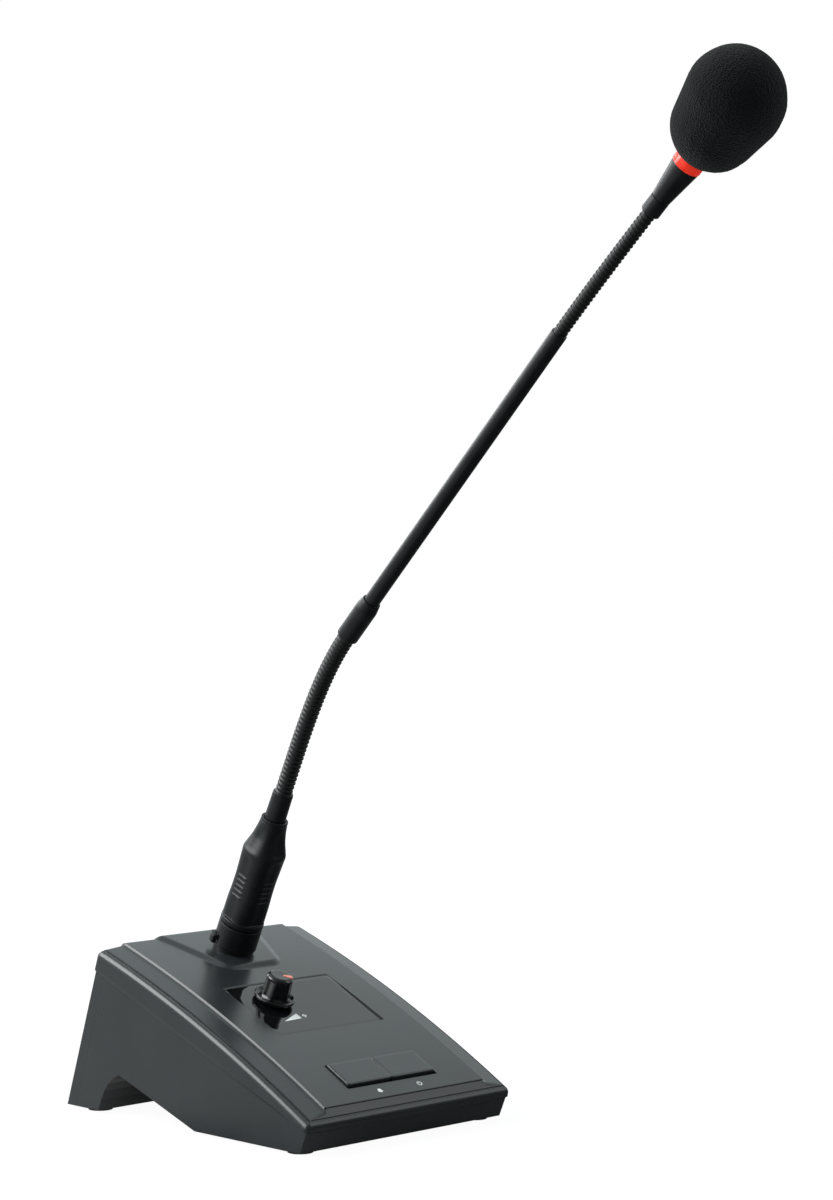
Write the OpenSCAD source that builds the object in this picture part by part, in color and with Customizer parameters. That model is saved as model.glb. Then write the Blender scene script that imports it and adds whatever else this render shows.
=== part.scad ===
// Desk paging microphone: a wedge base with two keys and a volume knob, and a gooseneck microphone
// that plugs into a socket at its rear. Millimetres, +X right, +Y to the back, +Z up.
// The origin is on the desk, under the middle of the base.

/* [Base] */
// Width of the lower housing
base_w = 119; // [110:1:140]
// Front edge of the underside, ahead of the origin
front_reach = 73.6; // [70:0.1:80]
// Rear edge of the underside, behind the origin
rear_reach = 82.3; // [77:0.1:88]
// Lean of the front face, in degrees
front_lean = 24; // [15:1:30]
// Lean of the rear wall, in degrees
rear_lean = 18.5; // [15:0.5:22]
// Wall of the plastic mouldings
wall = 2.4; // [2:0.1:2.8]
// Height of the parting line above the underside, over the front edge
part_h = 11; // [9:0.1:12.5]
// Slope of the parting line, in degrees
part_slope = 21; // [19:0.5:22]
// Depth of the rear panel's wrap-round edge
rear_panel_d = 6.5; // [5:0.5:8]
// Where the flat underside ends and the floor starts to rise
arch_start = -6; // [-12:1:0]
// Where the arch is highest
arch_apex = 45.5; // [42:0.5:48]
// Height of the arch above the underside
arch_h = 17.7; // [14:0.1:20]
// Inner edge of the rear leg's foot
leg_inner = 60; // [58:0.5:62]

/* [Feet and screws] */
// Diameter of a rubber foot
foot_d = 11; // [8:0.5:12]
// Height of a rubber foot
foot_h = 1.2; // [0.8:0.1:3]
// Sideways place of the feet
foot_x = 52; // [46:1:53]
// Distance of the front feet from the front edge of the underside
foot_front_in = 8; // [7:0.5:12]
// Sideways place of the cover's posts
post_x = 50; // [49:0.5:51]
// Front posts, from the origin
post_front = -42; // [-46:1:-38]
// Rear posts, from the origin
post_rear = 26; // [22:1:30]
// Diameter of a cover post
post_d = 8; // [7:0.5:9]
// Screw thread diameter
screw_d = 2.9; // [2.5:0.1:3.2]
// Screw head diameter
head_d = 5.6; // [5:0.1:6]
// Screw head height
head_h = 2; // [1.5:0.1:2.4]
// Clearance round a screw
screw_clear = 0.05; // [0.02:0.01:0.1]

/* [Cover] */
// Overhang of the cover round the housing
cover_over = 1.2; // [0.6:0.1:2]
// Height of the cover's lip at the front
lip_h = 3.8; // [2.5:0.1:5]
// Slope of the crowned top at its front edge, in degrees
top_slope = 29.1; // [28:0.1:30]
// Radius of the crown along the top
crown_r = 750; // [700:10:850]
// Radius of the rolled side rims
rim_r = 2.2; // [1.5:0.1:3]
// Width of the groove inside the rims
groove_w = 1.1; // [0.8:0.1:1.6]
// Depth of the groove
groove_d = 0.9; // [0.5:0.1:1.2]
// Width of the raised panel
panel_w = 94.5; // [90:0.5:100]
// Height of the raised panel
panel_h = 2.5; // [1.6:0.1:3]
// Distance of the raised panel from the front edge
panel_in = 7; // [5:0.5:9]

/* [Keys] */
// Width of one key
key_w = 25.4; // [22:0.2:27]
// Length of a key along the slope
key_l = 15.4; // [14:0.2:17]
// Gap round the keys
key_gap = 0.45; // [0.3:0.05:0.6]
// Wider gap in front of the keys
key_front_gap = 1; // [0.6:0.1:1.4]
// Middle of the keys, from the front edge along the top
key_s = 24.8; // [23:0.2:27]
// How far the rear edge of a key stands above the panel
key_rise = 1.3; // [0.6:0.1:1.8]
// How far the front edge of a key stands above the panel
key_front_rise = 0.2; // [0.1:0.1:0.5]
// Travel of a key
key_travel = 1.5; // [1:0.1:1.6]
// Thickness of the key's skirt and retaining rim
key_wall = 1.3; // [1:0.1:1.5]
// Depth of the board's top under the panel
board_depth = 9.7; // [9.7:0.1:10.2]
// Thickness of the circuit board
board_t = 1.6; // [1:0.2:2]
// Side of a key switch
switch_w = 9; // [8:0.5:10]
// Diameter of a switch plunger
plunger_d = 3.4; // [3:0.1:4]

/* [Film and knob] */
// Width of the glossy film
film_w = 61.8; // [56:0.2:66]
// Length of the film along the slope
film_l = 39.8; // [36:0.2:42]
// Thickness of the film
film_t = 0.6; // [0.4:0.1:0.7]
// Middle of the film, from the front edge along the top
film_s = 78.2; // [76:0.2:80]
// Depth of the film's face at its middle
film_sink = 0.55; // [0.45:0.05:0.65]
// Tilt of the film, its front edge deeper, in degrees
film_tilt = 1.2; // [0:0.1:1.5]
// Gap round the film
film_gap = 0.15; // [0.1:0.05:0.3]
// Knob's place to the left of the middle
knob_x = 13.2; // [8:0.2:18]
// Knob's place from the front edge along the top
knob_s = 84.4; // [80:0.2:88]
// Diameter of the knob's flange
knob_flange_d = 18.4; // [17:0.1:20]
// Thickness of the knob's flange
knob_flange_t = 1.5; // [1:0.1:2]
// Diameter of the knob's grip at its foot
knob_foot_d = 14.8; // [14.5:0.1:16]
// Diameter of the knob's grip at its top
knob_top_d = 12.2; // [11:0.1:13]
// Height of the knob's grip above its flange
knob_h = 10.8; // [9:0.1:13]
// Gap under the knob
knob_lift = 0.4; // [0.3:0.1:0.8]
// Diameter of the control's shaft
shaft_d = 6; // [5:0.1:6.2]
// Running clearance of the shaft
shaft_clear = 0.05; // [0.02:0.01:0.08]
// Diameter of the control's body
pot_d = 16; // [14:0.5:18]
// Height of the control's body
pot_h = 8; // [7:0.5:10]
// Diameter of the control's threaded bush
bush_d = 7.4; // [7.2:0.1:8]

/* [Socket and plug] */
// Plug's place from the front edge along the top
plug_s = 130; // [128:0.2:132]
// Forward lean of the plug, in degrees
plug_lean = 25.2; // [22:0.1:27]
// Height of the pad round the socket
pad_h = 1.4; // [0.8:0.1:1.8]
// Width of the pad at its front edge
pad_front_w = 33; // [31:0.5:36]
// Width of the pad at the rear
pad_rear_w = 47; // [44:0.5:50]
// Length of the pad ahead of the plug
pad_front_l = 14; // [12:0.5:15]
// Diameter of the socket's barrel
barrel_d = 17.8; // [17.6:0.1:18]
// Diameter of the socket's collar
collar_d = 20; // [19.6:0.1:21]
// Height of the collar above the pad
collar_h = 13.2; // [12:0.1:14]
// Bore of the socket's barrel
barrel_bore = 16.4; // [16.2:0.1:16.6]
// Outer diameter of the plug's nose
nose_d = 16.1; // [15.9:0.05:16.15]
// Wall of the plug's nose
nose_wall = 0.7; // [0.5:0.05:0.9]
// Clearance between fitted connector pieces
plug_clear = 0.1; // [0.05:0.01:0.15]
// Greatest diameter of the plug
plug_d = 19.9; // [19:0.1:21]
// Diameter of the plug's waist
plug_waist_d = 18.6; // [18:0.1:19]
// Height of the plug's shoulder above the pad
shoulder_z = 50; // [46:0.5:54]
// Height of the plug's boot
boot_h = 17.2; // [16:0.2:22]
// Diameter of the boot's top ring
boot_top_d = 12.4; // [12:0.1:14]
// Diameter of a contact pin
pin_d = 2.4; // [2.2:0.1:2.5]
// Radius of the circle of pins
pin_circle = 4; // [3.8:0.1:4.2]
// Travel of the release tab
tab_travel = 0.8; // [0.5:0.1:0.9]
// Width of the release tab
tab_w = 6; // [5:0.2:7]

/* [Neck] */
// Diameter of the lower ferrule
low_ferrule_d = 9.6; // [9:0.1:11]
// Height of the lower ferrule above the boot
low_ferrule_h = 13.4; // [10:0.1:15]
// Diameter of the lower flex over its ribs
low_flex_d = 8; // [7.6:0.1:8.4]
// Length of the lower flex
low_flex_l = 82.5; // [78:0.3:92]
// Diameter of the upper flex over its ribs
up_flex_d = 6.1; // [5.9:0.1:6.6]
// Length of the upper flex
up_flex_l = 66.3; // [62:0.3:75]
// Spacing of the ribs
rib_pitch = 2.05; // [1.9:0.05:2.4]
// Depth of the ribs
rib_depth = 0.5; // [0.3:0.05:0.6]
// Lean of the tube from upright, in degrees
tube_lean = 45; // [40:0.5:48]
// Lean of the head from upright, in degrees
head_lean = 48; // [45:0.1:50]
// Diameter of the rigid tube
tube_d = 7; // [6.9:0.1:8]
// Wall of the tube
tube_wall = 0.8; // [0.6:0.1:0.9]
// Length of the tube above the sleeve
tube_l = 156; // [140:0.5:170]
// Diameter of the coupling sleeve
sleeve_d = 9.9; // [9.4:0.1:11]
// Length of the coupling sleeve
sleeve_l = 22; // [20:0.5:25]
// Clearance between fitted neck pieces
neck_clear = 0.1; // [0.05:0.01:0.15]
// Bore for the wires
wire_d = 3; // [2:0.1:3.2]

/* [Head] */
// Diameter of the top ferrule
top_ferrule_d = 8.2; // [7.8:0.1:9]
// Length of the top ferrule
top_ferrule_l = 7.6; // [6:0.1:9]
// Diameter of the head at the top of its cone
head_w = 12.3; // [11.8:0.1:13]
// Length of the cone
cone_l = 17.4; // [15:0.1:20]
// Diameter of the light ring
ring_d = 12.8; // [12.6:0.1:13.4]
// Length of the light ring
ring_l = 4.5; // [3.5:0.1:6]
// Length of the slotted basket above the ring
basket_l = 34; // [30:0.5:38]
// Wall of the head's metal pieces
head_wall = 0.8; // [0.6:0.05:0.9]
// Diameter of the foam windscreen at its round tip
foam_d = 41; // [38.5:0.5:44]
// Diameter of the foam windscreen at its round foot
foam_base_d = 36; // [33:0.5:38]
// Length of the foam windscreen
foam_l = 50; // [47:0.5:56]
// How far the foam overlaps the light ring
foam_lap = 0.2; // [0.1:0.1:1]
// Gap between the foam and the head
foam_gap = 0.3; // [0.2:0.05:0.4]

/* [Rear sockets] */
// Sideways place of the output jack and of the power inlet
jack_x = 28; // [22:1:34]
// Height of the rear sockets
jack_z = 40; // [37:0.5:43]
// Bore of the output jack
jack_bore = 6.5; // [6.4:0.05:6.6]
// Depth of the output jack's bore
jack_depth = 18; // [15:0.5:18]
// Bore of the power inlet
inlet_bore = 6; // [5.6:0.1:6.4]

/* [Hidden] */
$fn = 64;

abs_colour = [0.20, 0.21, 0.22];
black = [0.07, 0.07, 0.08];
steel = [0.62, 0.63, 0.65];

// Lines in the side view, as a point and a direction angle
function dir(a) = [cos(a), sin(a)];
function meet(p, a, q, b) = p + dir(a) * cross(q - p, dir(b)) / cross(dir(a), dir(b));
function angle_of(v) = atan2(v[1], v[0]);
function left_of(v) = [-v[1], v[0]] / norm(v);
// A counterclockwise outline drawn in by d, edge by edge
function inset(pts, d) = [for (i = [0 : len(pts) - 1])
    let (here = pts[i], a = here - pts[(i + len(pts) - 1) % len(pts)], b = pts[(i + 1) % len(pts)] - here)
    meet(here + d * left_of(a), angle_of(a), here + d * left_of(b), angle_of(b))];
// A curve from p to q, drawn towards c
function curve(p, c, q, n) = [for (i = [0 : n]) let (t = i / n)
    p * (1 - t) * (1 - t) + 2 * c * t * (1 - t) + q * t * t];

// Corner points of the base in the side view, as [y, z]
front_foot = [-front_reach, foot_h];
rear_foot = [rear_reach, foot_h];
seam_foot = [rear_reach - rear_panel_d, foot_h];
part_point = [-front_reach, foot_h + part_h];
front_part = meet(front_foot, 90 + front_lean, part_point, part_slope);
rear_part = meet(rear_foot, 90 + rear_lean, part_point, part_slope);
seam_part = meet(seam_foot, 90 + rear_lean, part_point, part_slope);
arch_foot = [arch_start, foot_h];
apex = [arch_apex, foot_h + arch_h];
leg_foot = [leg_inner, foot_h];
arch_pull = [(apex[0] + leg_foot[0]) / 2 + 3, apex[1] - 4];
function housing_points(top, back) = concat([front_foot, arch_foot], curve(apex, arch_pull, leg_foot, 5),
    [seam_foot + [back, 0], seam_part + [back, top], front_part + [0, top]]);
room_extra = 30;

// The cover's lip and the crowned top
cover_front = front_part - cover_over * dir(part_slope);
cover_rear = rear_part + cover_over * dir(part_slope);
cover_w = base_w + 2 * cover_over;
top_front = cover_front + lip_h * dir(90 + front_lean);
crown = top_front + crown_r * [sin(top_slope), -cos(top_slope)];
cover_tall = 60;
cover_points = [cover_front, cover_rear, cover_rear + cover_tall * dir(90 + rear_lean),
    cover_front + cover_tall * dir(90 + front_lean)];
top_length = 170;
groove_in = rim_r;
function slope_at(s) = top_slope - s / crown_r * 180 / PI;
function top_point(s, h) = crown + (crown_r + h) * [-sin(slope_at(s)), cos(slope_at(s))];
function floor_z(y) = foot_h + max(0, (y - arch_start) * arch_h / (arch_apex - arch_start));

// Cover screws: each post stands on a boss in the housing
boss_d = post_d + 1.5;
boss_rise = 7;
seat_t = 2.4;
screw_bite = 8;
post_places = [for (x = [-1, 1], y = [post_front, post_rear]) [x * post_x, y, floor_z(y) + boss_rise]];
function under_head(p) = [p[0], p[1], p[2] - seat_t - head_h];

// Rear wall frame and its screws
rear_post_d = 7;
rear_screw_x = base_w / 2 - wall - rear_post_d / 2 + 0.6;
rear_screw_z = 22;
rear_post_l = 9;

// Keys, measured from the panel's face
key_skirt = wall + 0.25;
key_rim_out = 1.2;
stem_d = 5;
stem_z = -3.4;
plunger_l = 4.4;
plunger_clear = 0.08;
switch_top = stem_z - key_travel - 0.3;
key_offset = (key_w + key_gap) / 2;
key_rim_front = key_l / 2 + key_front_gap + key_rim_out;
key_room = key_skirt + key_wall + key_front_rise;
slot_w = 2 * key_w + 3 * key_gap;
slot_l = key_l + key_gap + key_front_gap;
board_w = 84;
board_front = 12;
board_rear = 26;
board_screw_x = 37;
board_screw_t = [-8, 20];
board_post_d = 6;

// The control under the knob, measured from the panel's face
pot_top = -wall - 0.05;
bush_top = 2.1;
nut_w = 10;
nut_h = 1.6;
nut_z = -0.2;
knob_cavity_d = 12.6;
knob_z = knob_lift;
knob_skin = 1.6;
shaft_top = knob_z + knob_flange_t + knob_h - knob_skin;
shaft_foot = pot_top - pot_h + 1;

// Socket and plug, measured along the plug's axis from the pad
foot_point = top_point(plug_s, panel_h + pad_h);
hole_d = barrel_d + 1.2;
neck_ring_d = hole_d - 0.4;
neck_ring_z = -2;
collar_z = 2.4;
flange_d = 28;
flange_t = 2;
// The flange is cut off straight towards the rear wall
flange_back = 11.4;
// The seat is square to the plug and clears the panel's underside all round
pad_tilt = plug_lean - slope_at(plug_s);
seat_z = -(pad_h + wall) / cos(pad_tilt) - (flange_d + 1) / 2 * tan(pad_tilt) - 0.1;
barrel_foot = -22;
insert_d = nose_d - 2 * nose_wall - 2 * plug_clear;
ring_z = collar_h + 0.4;
ring_h = 2.6;
body_z = ring_z + ring_h + 0.8;
nose_foot = 3;
contact_d = 2;
tab_z = 5.2;
tab_h = 4;
tab_gap = 0.2;
tab_proud = 2.2;
tab_turn = -28;
tab_deep = collar_d / 2 - barrel_bore / 2 - tab_travel - 0.15;
boot_base = shoulder_z + 0.1;
boot_top = boot_base + boot_h;
spigot_l = 6;
socket_screw_r = 12;

// Neck: straight links hinged at ball seats, each a little steeper than the one before
links = 6;
ferrule_top = boot_top + low_ferrule_h;
function up(lean) = [-sin(lean), cos(lean)];
neck_start = foot_point + ferrule_top * up(plug_lean);
low_link = low_flex_l / links;
up_link = up_flex_l / links;
bend_power = 3.6;
function low_lean(i) = plug_lean + (tube_lean - plug_lean) * pow(i / (links - 1), bend_power);
up_power = 0.45;
function up_lean(i) = tube_lean + (head_lean - tube_lean) * pow(i / (links - 1), up_power);
function low_point(i) = i == 0 ? neck_start : low_point(i - 1) + low_link * up(low_lean(i - 1));
sleeve_foot = low_point(links);
tube_top = sleeve_foot + (sleeve_l + tube_l) * up(tube_lean);
function up_point(i) = i == 0 ? tube_top : up_point(i - 1) + up_link * up(up_lean(i - 1));
head_foot = up_point(links);
// Each link's shoulder stays this far below its hinge, so that the next link's rim can dip
low_dip = 1.55;
up_dip = 1.05;
ball_clear = 0.25;
spigot_deep = 6.5;
tube_in = 11;
ring_foot = top_ferrule_l + cone_l;
basket_foot = ring_foot + ring_l;
head_top = basket_foot + basket_l;
foam_foot = basket_foot - foam_lap;
capsule_d = 9.7;
capsule_h = 6;
holder_h = 9;
capsule_z = head_top - holder_h - 2;

// Places children on the crowned top: x across, y up the slope, z along its normal
module on_top(s) translate([0, crown[0], crown[1]]) rotate([slope_at(s), 0, 0]) translate([0, 0, crown_r])
    children();
// Places children on the outside of the rear wall, z outwards and y down the wall
module on_rear(z) translate([0, rear_reach - (z - foot_h) * tan(rear_lean), z])
    rotate([rear_lean - 90, 0, 0]) children();
// Places children along an axis in the middle plane
module on_axis(p, lean) translate([0, p[0], p[1]]) rotate([lean, 0, 0]) children();
module on_plug() on_axis(foot_point, plug_lean) children();
module on_head() on_axis(head_foot, head_lean) children();
// A side-view outline given width across the middle plane
module side_prism(points, w) rotate([90, 0, 90]) linear_extrude(w, center = true) polygon(points);
// A cross-section, given as [height, across], swept along the crown
module crown_sweep(s0, s1) translate([0, crown[0], crown[1]]) rotate([0, -90, 0])
    rotate([0, 0, -slope_at(s0)]) rotate_extrude(angle = (s1 - s0) / crown_r * 180 / PI, $fn = 720)
    translate([crown_r, 0]) children();
module band(h0, h1, w) translate([h0, -w / 2]) square([h1 - h0, w]);
module tube(d, bore, z0, z1) translate([0, 0, z0]) difference() {
    cylinder(d = d, h = z1 - z0);
    translate([0, 0, -1]) cylinder(d = bore, h = z1 - z0 + 2);
}
module rod(d, z0, z1) translate([0, 0, z0]) cylinder(d = d, h = z1 - z0);
// A screw standing on its head, thread upwards
module screw(bite) {
    cylinder(d = head_d, h = head_h);
    translate([0, 0, head_h - 0.01]) cylinder(d = screw_d, h = bite + 0.01);
}
module screw_hole(z0, z1) rod(screw_d + 2 * screw_clear, z0, z1);

module lower_housing() color(abs_colour) difference() {
    union() {
        difference() {
            side_prism(housing_points(0, 0), base_w);
            side_prism(inset(housing_points(room_extra, room_extra), wall), base_w - 2 * wall);
        }
        intersection() {
            side_prism(housing_points(0, 0), base_w);
            for (p = post_places) translate([p[0], p[1], 0]) cylinder(d = boss_d, h = p[2]);
        }
        for (x = [-1, 1]) on_rear(rear_screw_z)
            translate([x * rear_screw_x, 0, -rear_panel_d * cos(rear_lean)]) rod(rear_post_d, -rear_post_l, 0);
    }
    for (p = post_places) {
        translate([p[0], p[1], 0]) rod(head_d + 0.6, -1, p[2] - seat_t);
        translate([p[0], p[1], 0]) screw_hole(0, p[2] + 1);
    }
    for (x = [-1, 1]) on_rear(rear_screw_z)
        translate([x * rear_screw_x, 0, -rear_panel_d * cos(rear_lean)]) screw_hole(-rear_post_l + 1, 1);
}

rear_points = [seam_foot, rear_foot, rear_part, seam_part];
rear_room = inset([seam_foot - [room_extra, 0], rear_foot, rear_part, seam_part - [room_extra, 0]], wall);
module rear_panel() color(abs_colour) difference() {
    union() {
        difference() {
            side_prism(rear_points, base_w);
            side_prism(rear_room, base_w - 2 * wall);
        }
        for (x = [-1, 1]) on_rear(rear_screw_z) translate([x * rear_screw_x, 0, 0])
            rod(rear_post_d, -rear_panel_d * cos(rear_lean), -wall / 2);
    }
    for (x = [-1, 1]) on_rear(rear_screw_z) translate([x * rear_screw_x, 0, 0]) {
        screw_hole(-2 * rear_panel_d, 1);
        rod(head_d + 0.6, -head_h, 1);
    }
    on_rear(jack_z) translate([-jack_x, 0, 0]) rod(jack_thread_d + 0.2, -wall - 1, 1);
    on_rear(jack_z) translate([jack_x, 0, 0]) rod(inlet_thread_d + 0.2, -wall - 1, 1);
}

module cover_shape(w) {
    crown_sweep(-2, top_length) {
        band(-cover_tall, -rim_r, w);
        band(-cover_tall, 0, w - 2 * rim_r);
        for (side = [-1, 1]) translate([-rim_r, side * (w / 2 - rim_r)]) circle(rim_r);
    }
    crown_sweep(panel_in, top_length) band(-wall, panel_h, panel_w);
}
pad_rear_l = 40;
pad_corner = 3;
pad_points = [[-pad_front_w / 2 + pad_corner, -pad_front_l], [pad_front_w / 2 - pad_corner, -pad_front_l],
    [pad_front_w / 2, pad_corner - pad_front_l], [pad_rear_w / 2, pad_rear_l], [-pad_rear_w / 2, pad_rear_l],
    [-pad_front_w / 2, pad_corner - pad_front_l]];
cover_room = inset([for (p = cover_points) p - [0, p[1] < cover_rear[1] + 1 ? room_extra : 0]], wall);
module top_cover() color(abs_colour) difference() {
    union() {
        intersection() {
            side_prism(cover_points, cover_w + 2);
            difference() {
                union() {
                    cover_shape(cover_w);
                    on_top(plug_s) translate([0, 0, panel_h - 1])
                        linear_extrude(pad_h + 1) polygon(pad_points);
                }
                intersection() {
                    side_prism(cover_room, cover_w);
                    union() {
                        crown_sweep(-2, top_length) band(-cover_tall - 1, -wall, base_w - 2 * wall);
                        crown_sweep(panel_in + wall, top_length)
                            band(-wall - 1, panel_h - wall, panel_w - 2 * wall);
                    }
                }
            }
        }
        intersection() {
            crown_sweep(-2, top_length) band(-cover_tall, -wall / 2, base_w);
            for (p = post_places) translate(p) cylinder(d = post_d, h = cover_tall);
        }
        for (x = [-1, 1], t = board_screw_t) on_top(key_s) translate([x * board_screw_x, t, panel_h])
            rod(board_post_d, -board_depth, -wall / 2);
        on_plug() rod(flange_d + 1, seat_z, -pad_h - 0.6);
    }
    for (side = [-1, 1]) crown_sweep(-2, top_length)
        translate([0, side * (cover_w / 2 - groove_in - groove_w / 2)]) band(-groove_d, 1, groove_w);
    on_top(groove_in) translate([-cover_w / 2 + groove_in, 0, -groove_d])
        cube([cover_w - 2 * groove_in, groove_w, 2]);
    on_top(key_s) translate([-slot_w / 2, -key_l / 2 - key_front_gap, panel_h - 2 * wall])
        cube([slot_w, slot_l, 3 * wall]);
    on_film() translate([-film_w / 2 - film_gap, -film_l / 2 - film_gap, -film_t])
        cube([film_w + 2 * film_gap, film_l + 2 * film_gap, 2 * wall]);
    on_knob() rod(bush_d + 0.2, -2 * wall, 1);
    on_plug() rod(hole_d, seat_z - 1, 20);
    for (a = [0, 180]) on_plug() rotate(a) translate([socket_screw_r, 0, 0])
        rod(screw_d + 2 * screw_clear, seat_z - 1, -pad_h - 1.6);
    for (p = post_places) translate(p) screw_hole(-1, screw_bite + 1);
    for (x = [-1, 1], t = board_screw_t) on_top(key_s) translate([x * board_screw_x, t, panel_h])
        screw_hole(-board_depth - 1, -wall - 1.2);
}

// The film's frame has its face at z = 0
module on_film() on_top(film_s) translate([0, 0, panel_h - film_sink]) rotate([film_tilt, 0, 0]) children();
module on_knob() on_top(knob_s) translate([-knob_x, 0, panel_h]) children();
module panel_film() color(abs_colour) difference() {
    on_film() translate([-film_w / 2, -film_l / 2, -film_t]) cube([film_w, film_l, film_t]);
    on_knob() rod(bush_d + 0.6, -2 * wall, 2 * wall);
}

ballast_w = 86;
ballast_front = -60;
ballast_rear = -12;
ballast_h = 5;
module ballast_plate() color(steel) translate([-ballast_w / 2, ballast_front, foot_h + wall])
    cube([ballast_w, ballast_rear - ballast_front, ballast_h]);

foot_rear = (leg_inner + rear_reach - rear_panel_d) / 2;
module rubber_feet() color([0.05, 0.05, 0.05])
    for (x = [-1, 1], y = [foot_front_in - front_reach, foot_rear])
        translate([x * foot_x, y, 0]) cylinder(d = foot_d, h = foot_h);

module cover_screws() color(steel) for (p = post_places) translate(under_head(p)) screw(seat_t + screw_bite);
module rear_screws() color(steel) for (x = [-1, 1])
    on_rear(rear_screw_z) translate([x * rear_screw_x, 0, 0]) rotate([180, 0, 0])
        screw(rear_panel_d * cos(rear_lean) + rear_post_l - head_h - 2);

module on_keys() on_top(key_s) translate([0, 0, panel_h]) children();
module main_board() color([0.05, 0.30, 0.16]) on_keys() difference() {
    translate([-board_w / 2, -board_front, -board_depth - board_t])
        cube([board_w, board_front + board_rear, board_t]);
    for (x = [-1, 1], t = board_screw_t) translate([x * board_screw_x, t, 0])
        rod(screw_d + 0.4, -board_depth - board_t - 1, -board_depth + 1);
}
module board_screws() color(steel) on_keys() for (x = [-1, 1], t = board_screw_t)
    translate([x * board_screw_x, t, -board_depth - board_t - head_h]) screw(board_t + 5);

module key_switch(x) on_keys() translate([x, 0, 0]) difference() {
    translate([-switch_w / 2, -switch_w / 2, -board_depth])
        cube([switch_w, switch_w, board_depth + switch_top]);
    rod(plunger_d + 2 * plunger_clear, -board_depth + 0.2, switch_top + 1);
}
module bell_switch() color(black) key_switch(-key_offset);
module power_switch() color(black) key_switch(key_offset);
module plunger(x) on_keys() translate([x, 0, 0]) rod(plunger_d, stem_z - plunger_l, stem_z);
module bell_plunger() color("ivory") plunger(-key_offset);
module power_plunger() color("ivory") plunger(key_offset);

// A key: a cap with a sloping top, hollow below, with a rim that hooks under the panel on its outer side
module key(side) on_keys() translate([side * key_offset, 0, 0]) {
    difference() {
        union() {
            side_prism([[-key_l / 2, -key_skirt - key_wall], [key_l / 2, -key_skirt - key_wall],
                [key_l / 2, key_rise], [-key_l / 2, key_front_rise]], key_w);
            translate([-key_w / 2 + (side < 0 ? -key_gap - key_rim_out : 0), -key_rim_front,
                -key_skirt - key_wall])
                cube([key_w + key_gap + key_rim_out, slot_l + 2 * key_rim_out, key_wall]);
        }
        translate([-key_w / 2 + key_wall, -key_l / 2 + key_wall, -key_skirt - 2 * key_wall])
            cube([key_w - 2 * key_wall, key_l - 2 * key_wall, key_room]);
    }
    rod(stem_d, stem_z, key_front_rise - key_wall / 2);
}
module bell_key() color(abs_colour) key(-1);
module power_key() color(abs_colour) key(1);

module pot_body() color([0.35, 0.36, 0.38]) on_knob() difference() {
    union() {
        rod(pot_d, pot_top - pot_h, pot_top);
        rod(bush_d, pot_top - 0.1, bush_top);
    }
    rod(shaft_d + 2 * shaft_clear, shaft_foot - 0.3, bush_top + 1);
}
module pot_nut() color(steel) on_knob() difference() {
    translate([0, 0, nut_z]) cylinder(d = nut_w / cos(30), h = nut_h, $fn = 6);
    rod(bush_d + 2 * screw_clear, nut_z - 1, nut_z + nut_h + 1);
}
module pot_shaft() color(steel) on_knob() rod(shaft_d, shaft_foot, shaft_top);
pointer_w = 1.7;
pointer_t = 0.5;
pointer_turn = -35;
knob_top = knob_z + knob_flange_t + knob_h;
module pointer_room(extra) rotate(pointer_turn)
    translate([1, -pointer_w / 2 - extra, knob_top - pointer_t - extra])
    cube([knob_top_d / 2 - 1.6 + extra, pointer_w + 2 * extra, pointer_t + 2 * extra]);
module volume_knob() color(black) on_knob() difference() {
    union() {
        rod(knob_flange_d, knob_z, knob_z + knob_flange_t);
        translate([0, 0, knob_z + knob_flange_t - 0.01])
            cylinder(d1 = knob_foot_d, d2 = knob_top_d, h = knob_h + 0.01);
    }
    rod(knob_cavity_d, knob_z - 1, bush_top + 0.5);
    rod(shaft_d + 2 * screw_clear, knob_z, shaft_top);
    pointer_room(0.02);
}
module knob_pointer() color("orangered") on_knob() pointer_room(0);

jack_thread_d = 9.5;
jack_body_d = 13;
jack_nut_d = 14;
jack_nut_h = 2;
jack_out = jack_nut_h + 0.6;
module output_jack() color(black) on_rear(jack_z) translate([-jack_x, 0, 0]) difference() {
    union() {
        rod(jack_body_d, -jack_depth - 4, -wall);
        rod(jack_thread_d, -wall - 1, jack_out);
    }
    rod(jack_bore, jack_out - jack_depth, jack_out + 1);
}
module jack_nut() color(steel) on_rear(jack_z) translate([-jack_x, 0, 0])
    tube(jack_nut_d, jack_thread_d + 2 * screw_clear, 0, jack_nut_h);
inlet_thread_d = 8;
inlet_body_d = 11;
inlet_depth = 9;
inlet_pin_d = 2;
module power_inlet() color(black) on_rear(jack_z) translate([jack_x, 0, 0]) {
    difference() {
        union() {
            rod(inlet_body_d, -inlet_depth - 4, -wall);
            rod(inlet_thread_d, -wall - 1, jack_out);
        }
        rod(inlet_bore, jack_out - inlet_depth, jack_out + 1);
    }
    rod(inlet_pin_d, jack_out - inlet_depth - 1, jack_out - 1);
}
module inlet_nut() color(steel) on_rear(jack_z) translate([jack_x, 0, 0])
    tube(jack_nut_d - 2, inlet_thread_d + 2 * screw_clear, 0, jack_nut_h);

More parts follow.
